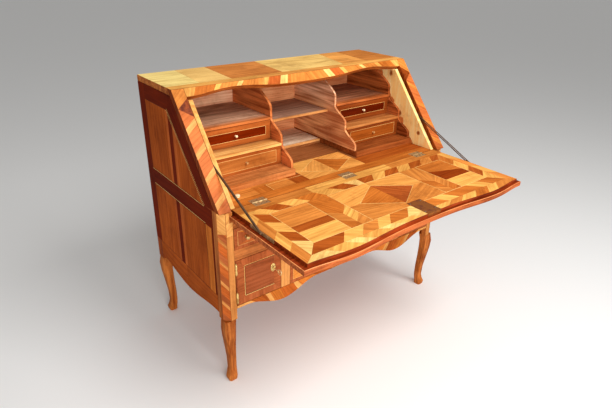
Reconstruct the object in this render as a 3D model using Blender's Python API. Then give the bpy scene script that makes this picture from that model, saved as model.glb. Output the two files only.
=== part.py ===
"""Slant-front writing desk: a case on cabriole legs, a hinged fall with two stays, and a fitted interior.

Units are metres. X runs along the width, Y from front to back, Z up. Inside this file Y is 0 on the front face of
the case; the empty called desk then moves everything so that the origin is on the floor, in the middle of the box
that the desk fills with its fall open.
"""

import math

import bmesh
import bpy
from mathutils import Vector

# Clearances
SEAT = 0.0003  # between two pieces that rest on or touch each other
REVEAL = 0.0015  # running gap round drawers and doors
DOOR_REVEAL = 0.002  # gap at a door's free edge, which its corner needs to swing
FALL_SEAT = 0.0006  # left between the closed fall and what it shuts against

# Case
CASE_WIDTH = 1.140
CASE_DEPTH = 0.592
CASE_HEIGHT = 1.080
TOP_DEPTH = 0.303
WRITING_HEIGHT = 0.729
CASE_FLOOR = 0.347
BOARD = 0.022
BACK_BOARD = 0.012
FRONT_BOARD = 0.024
POST_WIDTH = 0.048
POST_DEPTH = 0.050
POST_CANT = 0.022
APRON_DEPTH = 0.012
APRON_LOBE = 0.044
APRON_LOBE_REACH = 0.165
APRON_LOBE_PLACE = 0.276  # of the width, out from the middle
SIDE_DROP = 0.036
SIDE_LOBE = 0.030

# Legs
LEG_HEIGHT = 0.290
LEG_WIDTH = 0.046
ANKLE_WIDTH = 0.029
FOOT_WIDTH = 0.037
KNEE_SWELL = 0.005
ANKLE_DRAW = 0.006
GLUE_BLOCK = 0.030

# Lower front
BAY_WIDTH = 0.196
INNER_STILE = 0.040
DOOR_SHARE = 0.690  # of the height that doors and drawers share
MID_RAIL = 0.041
FRONT_RAIL = 0.029
FRONT_THICKNESS = 0.020
DUST_BOARD = 0.020
DRAWER_INSET = 0.008
DRAWER_WALL = 0.010
DRAWER_BOTTOM = 0.008
DRAWER_BACK_GAP = 0.060

# Fall
FALL_PANEL = 0.012
FALL_LIP = 0.022
LIP_OVERLAP = 0.009
LIP_ROUND = 0.005
FALL_CLEAR = 0.002
BOW = 0.017
BOW_LEAN = 1.6  # over 1 moves the swells of the free edge out towards the corners
CORNER_RISE = 0.005
TOP_RAIL = 0.038
SLANT_STILE_WIDTH = 0.046
SLANT_STILE_DEPTH = 0.024
BED_EDGE = 0.030

# Stays
STAY_ARM = 0.185
STAY_WIDTH = 0.009
STAY_THICKNESS = 0.004
STAY_SLIT = 0.007
STAY_TAIL = 0.014
STUD_RADIUS = 0.0025
STAY_PIN_RADIUS = 0.0020
STAY_PIN_DEPTH = 0.012
PIVOT_PLAY = 0.0003
BRACKET_LENGTH = 0.130
BRACKET_PLATE = 0.0015

# Fitted interior
LINER = 0.016
DIVIDER = 0.010
DIVIDER_NOSE = 0.26  # share of each level where the edge stands upright
SHELF = 0.009
FIT_SETBACK = 0.116
CENTRE_BAY = 0.322
LEDGE_HEIGHT = 0.024
LINK_HEIGHT = 0.010
LINK_DEPTH = 0.030
STEP_HEIGHT = 0.108
SHELF_HEIGHT = 0.195
CENTRE_SHELF_HEIGHT = 0.164
CENTRE_SHELF_SETBACK = 0.074
CENTRE_STEP_HEIGHT = 0.018
CENTRE_STEP_SETBACK = 0.236
DRAWER_RECESS = 0.004  # of a small drawer behind the shelf above it
SMALL_FRONT = 0.010
SMALL_WALL = 0.006
SMALL_BOTTOM = 0.005

# Metal fittings
LEAF = 0.0016
PIN_RADIUS = 0.0019
FALL_HINGE_WIDTH = 0.060
FALL_HINGE_LEAF = 0.022
FALL_HINGE_INSET = 0.110
DOOR_HINGE_HEIGHT = 0.036
DOOR_HINGE_INSET = 0.016
DOOR_LEAF = 0.016
LOCK_WIDTH = 0.066
LOCK_DEPTH = 0.095
LOCK_PLATE = 0.002
LOCK_OFFSET = 0.028  # of the lock to the right of the middle
KEY_INSET = 0.037
KEY_RADIUS = 0.0026
KEY_REACH = 0.034
KEY_BOW = 0.020
BARREL_RADIUS = 0.0052
ESCUTCHEON_WIDTH = 0.020
ESCUTCHEON_HEIGHT = 0.034
ESCUTCHEON_PLATE = 0.0012
LOCK_CASE = 0.014
LOCK_CASE_SIZE = 0.046
LOCK_SETBACK = 0.006  # so that the lock clears the frame as the door swings
BOLT_HEIGHT = 0.010
BOLT_THICKNESS = 0.005
BOLT_THROW = 0.015
BOLT_PLAY = 0.0004
SMALL_KNOB = 0.005
CASE_KNOB = 0.008

# Finishes: colour, roughness, metallic
WALNUT = ((0.30, 0.11, 0.035), 0.42, 0.0)
FRUITWOOD = ((0.58, 0.27, 0.075), 0.38, 0.0)
PALE_WOOD = ((0.80, 0.50, 0.17), 0.50, 0.0)
POPLAR = ((0.45, 0.27, 0.13), 0.65, 0.0)
IRON = ((0.12, 0.095, 0.075), 0.48, 0.9)
BRASS = ((0.62, 0.46, 0.18), 0.32, 1.0)

# Lines that many pieces share
HALF = CASE_WIDTH / 2
SLOPE = math.atan2(CASE_HEIGHT - WRITING_HEIGHT, CASE_DEPTH - TOP_DEPTH)
SIN, COS, TAN = math.sin(SLOPE), math.cos(SLOPE), math.tan(SLOPE)
AXIS_Y = FALL_PANEL / SIN
AXIS_Z = WRITING_HEIGHT
FALL_THICKNESS = FALL_PANEL + FALL_LIP
FACE = FALL_PANEL - FALL_SEAT
STILE_BACK = FACE - SLANT_STILE_DEPTH
INSIDE = HALF - BOARD
BACK_Y = CASE_DEPTH - BACK_BOARD
UNDER_TOP = CASE_HEIGHT - BOARD
STILE_X = HALF - SLANT_STILE_WIDTH
LINER_X = STILE_X - STAY_SLIT
FALL_X = LINER_X - 2 * FALL_SEAT
POST_X = HALF - POST_WIDTH
BAY_X = POST_X - BAY_WIDTH
CENTRE_X = BAY_X - INNER_STILE
PARTITION_X = BAY_X - INNER_STILE / 2
RAIL_TOP = WRITING_HEIGHT - FALL_THICKNESS - FALL_SEAT
DRAWER_TOP = RAIL_TOP - FRONT_RAIL
DOOR_OPENING = (DRAWER_TOP - MID_RAIL - CASE_FLOOR) * DOOR_SHARE
DOOR_TOP = CASE_FLOOR + DOOR_OPENING
DRAWER_FLOOR = DOOR_TOP + MID_RAIL
SLANT_LENGTH = (CASE_HEIGHT - WRITING_HEIGHT) / SIN - FACE / TAN
RAIL_EDGE = SLANT_LENGTH - TOP_RAIL
FALL_LENGTH = RAIL_EDGE - FALL_CLEAR
END_X = LINER_X - LINER - SEAT
KNUCKLE_BORE = PIN_RADIUS + PIVOT_PLAY
KNUCKLE = KNUCKLE_BORE + LEAF
STUD_DROP = FALL_PANEL * 0.46
STUD_S = math.sqrt(STAY_ARM**2 - STUD_DROP**2)
PIN_S = math.sqrt(STAY_ARM**2 - STAY_PIN_DEPTH**2)
STAY_X = (LINER_X + STILE_X) / 2
OPEN_SWING = math.pi - SLOPE
STAY_SPREAD = OPEN_SWING + math.atan2(STUD_DROP, STUD_S) + math.atan2(STAY_PIN_DEPTH, PIN_S)


def slant(s, n):
    """(y, z) at s up the slant from the fall's axis, and n out of its plane."""
    return (AXIS_Y + s * COS - n * SIN, AXIS_Z + s * SIN + n * COS)


def slant_at(z, n):
    """(y, z) where the plane n out of the slant passes a height."""
    return (AXIS_Y - n / SIN + (z - AXIS_Z) / TAN, z)


def fit_line(z):
    """How far back the fitted interior starts at a height: a line parallel to the slant."""
    return AXIS_Y + FIT_SETBACK + (z - AXIS_Z) / TAN


def bow(x):
    """How far the fall's free edge runs past its middle: two swells, and corners a little ahead of the middle."""
    share = min(abs(x) / FALL_X, 1.0)
    return BOW * math.sin(math.pi * share**BOW_LEAN) ** 2 + CORNER_RISE * share**2


def spread(low, high, count):
    """Evenly spaced values from low to high."""
    return [low + (high - low) * i / count for i in range(count + 1)]


# Solids: each is a list of points and a list of faces


def loft(rings):
    """Closed solid through rings of equally many points."""
    size = len(rings[0])
    points = [p for ring in rings for p in ring]
    faces = [list(range(size))[::-1], [len(points) - size + i for i in range(size)]]
    for level in range(len(rings) - 1):
        base = level * size
        for i in range(size):
            j = (i + 1) % size
            faces.append([base + i, base + j, base + size + j, base + size + i])
    return points, faces


def prism(outline, axis, low, high):
    """Outline pushed along X (outline in y, z), Y (in x, z) or Z (in x, y)."""

    def place(u, v, w):
        return {"X": (w, u, v), "Y": (u, w, v), "Z": (u, v, w)}[axis]

    return loft([[place(u, v, w) for u, v in outline] for w in (low, high)])


def block(x, y, z):
    """Box between three pairs of limits."""
    return prism([(y[0], z[0]), (y[1], z[0]), (y[1], z[1]), (y[0], z[1])], "X", *x)


def circle(centre, radius, sides=16):
    turns = [2 * math.pi * i / sides for i in range(sides)]
    return [(centre[0] + radius * math.cos(a), centre[1] + radius * math.sin(a)) for a in turns]


def rod(axis, centre, radius, low, high, sides=16):
    return prism(circle(centre, radius, sides), axis, low, high)


def turned(centre_x, centre_z, profile, sides=14):
    """Round piece about a line along Y, from (y, radius) pairs."""
    rings = []
    for y, radius in profile:
        rings.append([(u, y, v) for u, v in circle((centre_x, centre_z), radius, sides)])
    return loft(rings)


def mirrored(solid):
    points, faces = solid
    return [(-x, y, z) for x, y, z in points], [face[::-1] for face in faces]


def rolled_leaf(length, steps=14):
    """Hinge leaf in section: flat from the knuckle out to length, its end rolled round the pin at (0, 0)."""
    slit = math.radians(14)
    start = math.asin(LEAF / KNUCKLE)
    outer = [2 * math.pi - start - a for a in spread(0, 2 * math.pi - start - slit, steps)]
    inner = spread(slit, 2 * math.pi, steps)
    outline = [(length, -LEAF)]
    outline += [(KNUCKLE * math.cos(a), KNUCKLE * math.sin(a)) for a in outer]
    outline += [(KNUCKLE_BORE * math.cos(a), KNUCKLE_BORE * math.sin(a)) for a in inner]
    outline.append((length, 0.0))
    return outline


# Objects


def empty(name, at, parent=None):
    helper = bpy.data.objects.new(name, None)
    bpy.context.scene.collection.objects.link(helper)
    helper["place"] = at
    if parent:
        helper.parent = parent
        at = Vector(at) - Vector(parent["place"])
    helper.location = at
    return helper


def mesh_of(name, solids, origin):
    whole = bmesh.new()
    for points, faces in solids:
        verts = [whole.verts.new(Vector(p) - origin) for p in points]
        made = [whole.faces.new([verts[i] for i in face]) for face in faces]
        bmesh.ops.recalc_face_normals(whole, faces=made)
    mesh = bpy.data.meshes.new(name)
    whole.to_mesh(mesh)
    whole.free()
    return mesh


def finish_of(name, finish):
    colour, roughness, metallic = finish
    material = bpy.data.materials.new(name + "_finish")
    material.use_nodes = True
    shader = material.node_tree.nodes["Principled BSDF"]
    shader.inputs["Base Color"].default_value = (*colour, 1.0)
    shader.inputs["Roughness"].default_value = roughness
    shader.inputs["Metallic"].default_value = metallic
    material.diffuse_color = (*colour, 1.0)
    return material


def piece(name, solids, finish, parent, ease=0.0, smooth=False):
    """One named sub-part, carried by an empty. ease takes its sharp edges off."""
    mesh = mesh_of(name, solids, Vector(parent["place"]))
    mesh.materials.append(finish_of(name, finish))
    if smooth:
        mesh.shade_smooth()
        mesh.set_sharp_from_angle(angle=math.radians(40))
    made = bpy.data.objects.new(name, mesh)
    bpy.context.scene.collection.objects.link(made)
    made.parent = parent
    if ease:
        modifier = made.modifiers.new("eased_edges", "BEVEL")
        modifier.width = ease
        modifier.segments = 1
        modifier.limit_method = "ANGLE"
        modifier.angle_limit = math.radians(40)
    return made


def combine(target, solids, operation):
    """Cuts solids out of a piece, or joins them to it, one after another."""
    for solid in solids:
        name = f"{target.name}_{operation.lower()}_{len(target.modifiers)}"
        helper = bpy.data.objects.new(name, mesh_of(name, [solid], Vector(target.parent["place"])))
        bpy.context.scene.collection.objects.link(helper)
        helper.parent = target.parent
        helper.hide_render = True
        helper.display_type = "WIRE"
        modifier = target.modifiers.new(name, "BOOLEAN")
        modifier.operation = operation
        modifier.solver = "EXACT"
        modifier.object = helper


def cut(target, solids):
    combine(target, solids, "DIFFERENCE")


def join(target, solids):
    combine(target, solids, "UNION")


# Case


def side_edge(low, high, count=14):
    """Bottom edge of a side from front to back, with one lobe in the middle. Pairs (y, z)."""
    top = CASE_FLOOR - SIDE_DROP
    edge = []
    for i, y in enumerate(spread(low, high, count)):
        edge.append((y, top - SIDE_LOBE * (0.5 - 0.5 * math.cos(2 * math.pi * i / count))))
    return edge


def case_sides(desk):
    leg_line = LEG_HEIGHT + SEAT
    front = POST_DEPTH + SEAT
    leg_front = CASE_DEPTH - LEG_WIDTH
    outline = side_edge(front, leg_front)
    outline += [(leg_front, leg_line), (CASE_DEPTH, leg_line), (CASE_DEPTH, UNDER_TOP - SEAT)]
    outline.append(slant_at(UNDER_TOP - SEAT, STILE_BACK - SEAT))
    outline.append(slant_at(WRITING_HEIGHT + SEAT, STILE_BACK - SEAT))
    outline.append((front, WRITING_HEIGHT + SEAT))
    right = prism(outline, "X", INSIDE, HALF)
    piece("side_left", [mirrored(right)], WALNUT, desk, ease=0.001)
    piece("side_right", [right], WALNUT, desk, ease=0.001)


def top_and_back(desk):
    low = slant_at(UNDER_TOP, STILE_BACK - SEAT)
    high = slant_at(CASE_HEIGHT, STILE_BACK - SEAT)
    outline = [low, (CASE_DEPTH, UNDER_TOP), (CASE_DEPTH, CASE_HEIGHT), high]
    piece("top_board", [prism(outline, "X", -HALF, HALF)], FRUITWOOD, desk, ease=0.0015)
    wide = INSIDE - SEAT
    panel = block((-wide, wide), (BACK_Y, CASE_DEPTH), (CASE_FLOOR - BOARD, UNDER_TOP - SEAT))
    piece("back_panel", [panel], POPLAR, desk, ease=0.001)


def slant_frame(desk):
    """The two stiles beside the fall, and the rail above it whose lower edge follows the fall's bow."""
    foot = WRITING_HEIGHT + SEAT
    outline = [slant_at(z, n) for z, n in ((foot, FACE), (CASE_HEIGHT, FACE), (CASE_HEIGHT, STILE_BACK))]
    outline.append(slant_at(foot, STILE_BACK))
    right = prism(outline, "X", STILE_X, HALF)
    piece("slant_stile_left", [mirrored(right)], WALNUT, desk, ease=0.0012)
    piece("slant_stile_right", [right], WALNUT, desk, ease=0.0012)
    wide = STILE_X - SEAT
    rings = []
    for x in spread(-wide, wide, 32):
        edge = RAIL_EDGE + bow(x)
        section = [slant(edge, FACE), slant_at(CASE_HEIGHT, FACE), slant_at(CASE_HEIGHT, STILE_BACK)]
        section.append(slant(edge, STILE_BACK))
        rings.append([(x, y, z) for y, z in section])
    piece("top_rail", [loft(rings)], WALNUT, desk, ease=0.001)


def corner_posts(desk):
    outline = [(POST_X, 0), (HALF - POST_CANT, 0), (HALF, POST_CANT), (HALF, POST_DEPTH), (POST_X, POST_DEPTH)]
    right = prism(outline, "Z", LEG_HEIGHT + SEAT, WRITING_HEIGHT)
    left = piece("corner_post_left", [mirrored(right)], FRUITWOOD, desk, ease=0.001)
    join(left, pintles(-POST_X))
    post = piece("corner_post_right", [right], FRUITWOOD, desk, ease=0.001)
    low, high = bolt_section()
    mortise = (POST_X - BOARD, POST_X + BOLT_THROW)
    cut(post, [block(mortise, *[(a - REVEAL, b + REVEAL) for a, b in zip(low, high)])])


def leg_rings(centre_x, centre_y, out_x, out_y):
    """Squared cabriole leg with eased corners, from foot to knee. Pairs of share of height, width and sway."""
    stations = [
        (0.00, FOOT_WIDTH * 0.90, 0.0),
        (0.05, FOOT_WIDTH, 0.001),
        (0.11, FOOT_WIDTH * 0.88, -ANKLE_DRAW * 0.5),
        (0.19, ANKLE_WIDTH, -ANKLE_DRAW),
        (0.36, ANKLE_WIDTH * 1.06, -ANKLE_DRAW * 0.8),
        (0.56, ANKLE_WIDTH * 1.24, 0.0),
        (0.74, LEG_WIDTH * 0.92, KNEE_SWELL * 0.8),
        (0.88, LEG_WIDTH, KNEE_SWELL),
        (1.00, LEG_WIDTH, 0.0),
    ]
    rings = []
    for share, width, sway in stations:
        half, corner = width / 2, width * 0.34
        shape = [(half, -corner), (half, corner), (corner, half), (-corner, half)]
        shape += [(-u, -v) for u, v in shape]
        x, y = centre_x + out_x * sway, centre_y + out_y * sway
        rings.append([(x + u, y + v, share * LEG_HEIGHT) for u, v in shape])
    return rings


def legs(desk):
    """Front legs stand under the corner posts. Rear legs stand under the sides, with a glue block inside."""
    inset = LEG_WIDTH / 2
    for side, out in (("left", -1), ("right", 1)):
        x = out * (HALF - inset)
        piece(f"leg_front_{side}", [loft(leg_rings(x, inset, out, -1))], WALNUT, desk, smooth=True)
        rings = leg_rings(x, CASE_DEPTH - inset, out, 1)
        rear = piece(f"leg_rear_{side}", [loft(rings)], WALNUT, desk, smooth=True)
        inner = sorted((out * (INSIDE - SEAT), out * (INSIDE - SEAT - GLUE_BLOCK)))
        deep = (CASE_DEPTH - LEG_WIDTH * 0.8, BACK_Y - SEAT)
        join(rear, [block(inner, deep, (LEG_HEIGHT * 0.93, CASE_FLOOR - BOARD - SEAT))])


def apron(desk):
    """Front board below the doors, with two lobes."""
    wide = POST_X - SEAT
    arch = CASE_FLOOR - APRON_DEPTH
    outline = [(wide, CASE_FLOOR), (-wide, CASE_FLOOR)]
    for x in spread(-wide, wide, 56):
        share = (abs(x) - CASE_WIDTH * APRON_LOBE_PLACE) / APRON_LOBE_REACH
        rise = 0.5 + 0.5 * math.cos(math.pi * max(-1.0, min(1.0, share)))
        outline.append((x, arch - APRON_LOBE * rise))
    piece("apron", [prism(outline, "Y", 0, FRONT_BOARD)], WALNUT, desk, ease=0.001)


def case_bottom(desk):
    wide, back = INSIDE - SEAT, BACK_Y - SEAT
    front, notch = FRONT_BOARD + SEAT, POST_DEPTH + SEAT
    near = POST_X - SEAT
    half = [(near, front), (near, notch), (wide, notch), (wide, back)]
    outline = half + [(-x, y) for x, y in reversed(half)]
    piece("case_bottom", [prism(outline, "Z", CASE_FLOOR - BOARD, CASE_FLOOR)], POPLAR, desk)


def inner_frame(desk):
    """Upright partitions with their front stiles, and the drawer floor that they cross at a halved joint."""
    back = BACK_Y - SEAT
    middle = CASE_DEPTH / 2
    foot, head = CASE_FLOOR + SEAT, WRITING_HEIGHT - BOARD - SEAT
    under = DRAWER_FLOOR - DUST_BOARD
    tongue = FRONT_BOARD / 2
    rail = AXIS_Y + BED_EDGE + SEAT
    outline = [(tongue, foot), (back, foot), (back, head), (rail, head), (rail, DRAWER_TOP - SEAT)]
    outline += [(tongue, DRAWER_TOP - SEAT), (tongue, DRAWER_FLOOR + SEAT), (middle, DRAWER_FLOOR + SEAT)]
    outline += [(middle, under - SEAT), (FRONT_BOARD + SEAT, under - SEAT)]
    outline += [(FRONT_BOARD + SEAT, DOOR_TOP - SEAT), (tongue, DOOR_TOP - SEAT)]
    thick = (PARTITION_X - DUST_BOARD / 2, PARTITION_X + DUST_BOARD / 2)
    upright = prism(outline, "X", *thick)
    lower_stile = block((CENTRE_X, BAY_X), (0, FRONT_BOARD), (foot, DOOR_TOP - SEAT))
    upper_stile = block((CENTRE_X, BAY_X), (0, FRONT_BOARD), (DRAWER_FLOOR + SEAT, DRAWER_TOP - SEAT))
    left = piece("partition_left", [mirrored(upright)], FRUITWOOD, desk)
    join(left, [mirrored(lower_stile), mirrored(upper_stile)])
    right = piece("partition_right", [upright], FRUITWOOD, desk)
    join(right, [lower_stile, upper_stile])
    join(right, pintles(BAY_X))
    section = [(0, DOOR_TOP), (FRONT_BOARD, DOOR_TOP), (FRONT_BOARD, under), (back, under), (back, DRAWER_FLOOR)]
    section.append((0, DRAWER_FLOOR))
    wide = POST_X - SEAT
    floor = piece("drawer_floor", [prism(section, "X", -wide, wide)], WALNUT, desk)
    slot_x = (thick[0] - SEAT, thick[1] + SEAT)
    slot = block(slot_x, (middle - SEAT, CASE_DEPTH), (under - BOARD, DRAWER_FLOOR + BOARD))
    cut(floor, [mirrored(slot), slot])


# Lower drawers and doors


def knob(x, z, y, radius):
    """Turned knob standing out of a front at y, with a short tenon into it."""
    head = ((2.3, 0.30), (2.2, 0.70), (1.7, 1.0), (1.2, 0.85))
    neck = ((0.7, 0.48), (0.3, 0.50), (0.1, 0.75), (-0.4, 0.75))
    return turned(x, z, [(y - radius * out, radius * wide) for out, wide in head + neck])


def case_drawer(desk, name, x, z):
    """Front with a narrower box behind it, hollow and open at the top, and two turned knobs."""
    place = empty(f"{name}_slide", ((x[0] + x[1]) / 2, 0, (z[0] + z[1]) / 2), desk)
    back = BACK_Y - DRAWER_BACK_GAP
    box_x = (x[0] + DRAWER_INSET, x[1] - DRAWER_INSET)
    front_y = FRONT_THICKNESS
    outline = [(x[0], 0), (x[1], 0), (x[1], front_y), (box_x[1], front_y), (box_x[1], back)]
    outline += [(box_x[0], back), (box_x[0], front_y), (x[0], front_y)]
    drawer = piece(name, [prism(outline, "Z", *z)], FRUITWOOD, place, ease=0.0008)
    hollow_x = (box_x[0] + DRAWER_WALL, box_x[1] - DRAWER_WALL)
    cut(drawer, [block(hollow_x, (front_y, back - DRAWER_WALL), (z[0] + DRAWER_BOTTOM, z[1] + BOARD))])
    quarter = (x[1] - x[0]) / 4
    join(drawer, [knob(u, sum(z) / 2, 0, CASE_KNOB) for u in (x[0] + quarter, x[1] - quarter)])


def case_drawers(desk):
    upper = (DRAWER_FLOOR + SEAT, DRAWER_TOP - REVEAL)
    lower = (CASE_FLOOR + SEAT, DOOR_TOP - REVEAL)
    bay = (BAY_X + REVEAL, POST_X - REVEAL)
    case_drawer(desk, "drawer_left", (-bay[1], -bay[0]), upper)
    case_drawer(desk, "drawer_right", bay, upper)
    wide = CENTRE_X - REVEAL
    case_drawer(desk, "wide_drawer_upper", (-wide, wide), upper)
    case_drawer(desk, "wide_drawer_lower", (-wide, wide), lower)


def bolt_section():
    """(y, z) limits of a door bolt."""
    middle = FRONT_THICKNESS + SEAT + LOCK_CASE * 0.5
    height = CASE_FLOOR + DOOR_OPENING / 2 + KEY_RADIUS * 4
    y = (middle - BOLT_THICKNESS / 2, middle + BOLT_THICKNESS / 2)
    z = (height - BOLT_HEIGHT / 2, height + BOLT_HEIGHT / 2)
    return y, z


def door_axis(bay_low):
    """(x, y) of the pin line of the door that hangs on the left of a bay."""
    return bay_low + KNUCKLE / 2, -KNUCKLE - SEAT


def hinge_heights():
    """Bottoms of the two hinges of a door."""
    low = CASE_FLOOR + REVEAL + DOOR_HINGE_INSET
    return low, DOOR_TOP - REVEAL - DOOR_HINGE_INSET - DOOR_HINGE_HEIGHT


def pintles(bay_low):
    """Fixed half of a door's hinges: knuckle, upright pin, and a leaf let into the frame beside the bay."""
    x, y = door_axis(bay_low)
    solids = []
    for z in hinge_heights():
        middle = z + DOOR_HINGE_HEIGHT / 2 - SEAT
        pin = circle((x, y), PIN_RADIUS)
        knuckle = circle((x, y), KNUCKLE)
        rings = [(knuckle, z), (knuckle, middle), (pin, middle), (pin, z + DOOR_HINGE_HEIGHT)]
        solids.append(loft([[(u, v, level) for u, v in ring] for ring, level in rings]))
        solids.append(block((bay_low - LEAF, x - SEAT), (y, DOOR_LEAF), (z + SEAT, middle - SEAT)))
    return solids


def straps(bay_low):
    """Moving half of a door's hinges: leaves rolled round the pins and let into the door's edge."""
    x, y = door_axis(bay_low)
    outline = [(x - v, y + u) for u, v in rolled_leaf(KNUCKLE + DOOR_LEAF)]
    solids = []
    for z in hinge_heights():
        solids.append(prism(outline, "Z", z + DOOR_HINGE_HEIGHT / 2 + SEAT, z + DOOR_HINGE_HEIGHT))
    return solids


def doors(desk):
    """Both doors hang on their left edge and lock on their right edge."""
    z = (CASE_FLOOR + REVEAL, DOOR_TOP - REVEAL)
    key_z = sum(bolt_section()[1]) / 2
    for side, bay_low in (("left", -POST_X), ("right", BAY_X)):
        axis_x, axis_y = door_axis(bay_low)
        place = empty(f"door_{side}_axis", (axis_x, axis_y, z[0]), desk)
        free_edge = bay_low + BAY_WIDTH - DOOR_REVEAL
        slab = block((axis_x + LEAF * 0.6, free_edge), (0, FRONT_THICKNESS), z)
        door = piece(f"door_{side}", [slab], WALNUT, place, ease=0.001)
        join(door, straps(bay_low))
        key_x = bay_low + BAY_WIDTH - KEY_INSET
        cut(door, [rod("Y", (key_x, key_z), BARREL_RADIUS + PIVOT_PLAY, -BOARD, 2 * BOARD)])
        door_lock(side, place, key_x, key_z, free_edge - LOCK_SETBACK)


def door_lock(side, place, key_x, key_z, edge):
    """Lock case behind the door with its barrel and escutcheon, the bolt in its channel, and the key."""
    bolt_y, bolt_z = bolt_section()
    at = (key_x, key_z)
    inner = FRONT_THICKNESS + SEAT
    case_z = (key_z - LOCK_CASE_SIZE / 2, key_z + LOCK_CASE_SIZE / 2)
    body = block((edge - LOCK_CASE_SIZE, edge), (inner, inner + LOCK_CASE), case_z)
    lock = piece(f"door_lock_{side}", [body], BRASS, place)
    oval = circle((0, 0), 0.5, 20)
    shield = [(key_x + u * ESCUTCHEON_WIDTH, key_z + v * ESCUTCHEON_HEIGHT) for u, v in oval]
    join(lock, [rod("Y", at, BARREL_RADIUS, -ESCUTCHEON_PLATE, inner + LOCK_CASE / 4)])
    join(lock, [prism(shield, "Y", -ESCUTCHEON_PLATE - SEAT, -SEAT)])
    cut(lock, [rod("Y", at, KEY_RADIUS + PIVOT_PLAY, -BOARD, 2 * BOARD)])
    tail = key_x + BARREL_RADIUS
    grown = [(low - BOLT_PLAY, high + BOLT_PLAY) for low, high in (bolt_y, bolt_z)]
    cut(lock, [block((tail, edge + BOARD), *grown)])
    bolt_place = empty(f"bolt_{side}_slide", (edge, bolt_y[0], key_z), place)
    piece(f"bolt_{side}", [block((tail + BOLT_PLAY, edge), bolt_y, bolt_z)], IRON, bolt_place)
    key_place = empty(f"key_{side}_axis", (key_x, 0, key_z), place)
    shaft = rod("Y", at, KEY_RADIUS, -KEY_REACH, inner + LOCK_CASE * 0.9)
    key = piece(f"key_{side}", [shaft], BRASS, key_place, smooth=True)
    loop = key_bow((-KEY_REACH - KEY_BOW, -KEY_REACH + KEY_RADIUS), key_z)
    join(key, [prism(loop, "X", key_x - KEY_RADIUS * 0.6, key_x + KEY_RADIUS * 0.6)])


def key_bow(reach, z):
    """Kidney-shaped key bow seen from the side, a ring left open by a hair at its far end."""
    middle, radius = (reach[0] + reach[1]) / 2, (reach[1] - reach[0]) / 2
    turn = spread(math.radians(4), 2 * math.pi - math.radians(4), 20)
    outer = [(middle - radius * math.cos(a), z + radius * 1.15 * math.sin(a)) for a in turn]
    inner = [(middle - radius * 0.62 * math.cos(a), z + radius * 0.72 * math.sin(a)) for a in reversed(turn)]
    return outer + inner


# Writing bed and fall


def fall_hinge_places():
    wide = FALL_X - FALL_HINGE_INSET
    return (-wide, 0.0, wide)


def writing_bed(desk):
    """Writing surface, thickened at the front edge where the fall hangs, on the rail over the drawers."""
    front = AXIS_Y + FALL_SEAT
    under = WRITING_HEIGHT - BOARD
    edge = AXIS_Y + BED_EDGE
    low = RAIL_TOP - FRONT_RAIL / 2
    section = [(front, low), (edge, low), (edge, under), (BACK_Y - SEAT, under), (BACK_Y - SEAT, AXIS_Z)]
    section.append((front, AXIS_Z))
    bed = piece("writing_bed", [prism(section, "X", -LINER_X, LINER_X)], FRUITWOOD, desk)
    wide = POST_X - SEAT
    join(bed, [block((-wide, wide), (0, edge - SEAT), (DRAWER_TOP, RAIL_TOP))])
    pockets = []
    for x in fall_hinge_places():
        wide = (x - FALL_HINGE_WIDTH / 2 - SEAT, x + FALL_HINGE_WIDTH / 2 + SEAT)
        leaf = (front - BED_EDGE, AXIS_Y + KNUCKLE + FALL_HINGE_LEAF + SEAT)
        pockets.append(block(wide, leaf, (AXIS_Z - LEAF - SEAT, AXIS_Z + BOARD)))
        knuckle = (front - BED_EDGE, AXIS_Y + KNUCKLE + REVEAL)
        pockets.append(block(wide, knuckle, (AXIS_Z - KNUCKLE - REVEAL, AXIS_Z)))
    cut(bed, pockets)


def fall_hinges(desk, fall):
    """Three flush hinges: the bed leaf holds the pin in one middle knuckle, the fall leaf turns on it with two."""
    sixth = FALL_HINGE_WIDTH / 6
    out = KNUCKLE + FALL_HINGE_LEAF
    strip = rolled_leaf(out - REVEAL)
    bed_roll = [(AXIS_Y + u, AXIS_Z + v) for u, v in strip]
    fall_roll = [(AXIS_Y - u, AXIS_Z + v) for u, v in strip]
    level = (AXIS_Z - LEAF * 1.05, AXIS_Z + LEAF * 0.05)
    for side, x in zip(("left", "middle", "right"), fall_hinge_places()):
        wide = (x - FALL_HINGE_WIDTH / 2, x + FALL_HINGE_WIDTH / 2)
        plate = block(wide, (AXIS_Y + KNUCKLE + PIVOT_PLAY, AXIS_Y + out), level)
        fixed = piece(f"bed_hinge_leaf_{side}", [plate], IRON, desk)
        join(fixed, [prism(bed_roll, "X", x - sixth, x + sixth)])
        pin = circle((AXIS_Y, AXIS_Z), PIN_RADIUS)
        tight = circle((AXIS_Y, AXIS_Z), KNUCKLE_BORE + LEAF / 4)
        stations = [(wide[0], pin), (x - sixth / 2, pin), (x - sixth / 2, tight), (x + sixth / 2, tight)]
        stations += [(x + sixth / 2, pin), (wide[1], pin)]
        join(fixed, [loft([[(u, y, z) for y, z in ring] for u, ring in stations])])
        plate = block(wide, (AXIS_Y - out, AXIS_Y - KNUCKLE - PIVOT_PLAY), level)
        moving = piece(f"fall_hinge_leaf_{side}", [plate], IRON, fall)
        ends = ((wide[0], x - sixth - SEAT), (x + sixth + SEAT, wide[1]))
        join(moving, [prism(fall_roll, "X", *end) for end in ends])


def fall_outline(side, front, lip_from):
    """Fall seen from above: plain behind lip_from, widened by side and lengthened by front ahead of it."""
    points = []
    for t in spread(-1, 1, 40):
        x = t * (FALL_X + side)
        points.append((x, AXIS_Y - FALL_LENGTH - front - bow(t * FALL_X)))
    right = [(FALL_X + side, AXIS_Y - lip_from), (FALL_X, AXIS_Y - lip_from), (FALL_X, AXIS_Y)]
    return points + right + [(-x, y) for x, y in reversed(right)]


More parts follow.
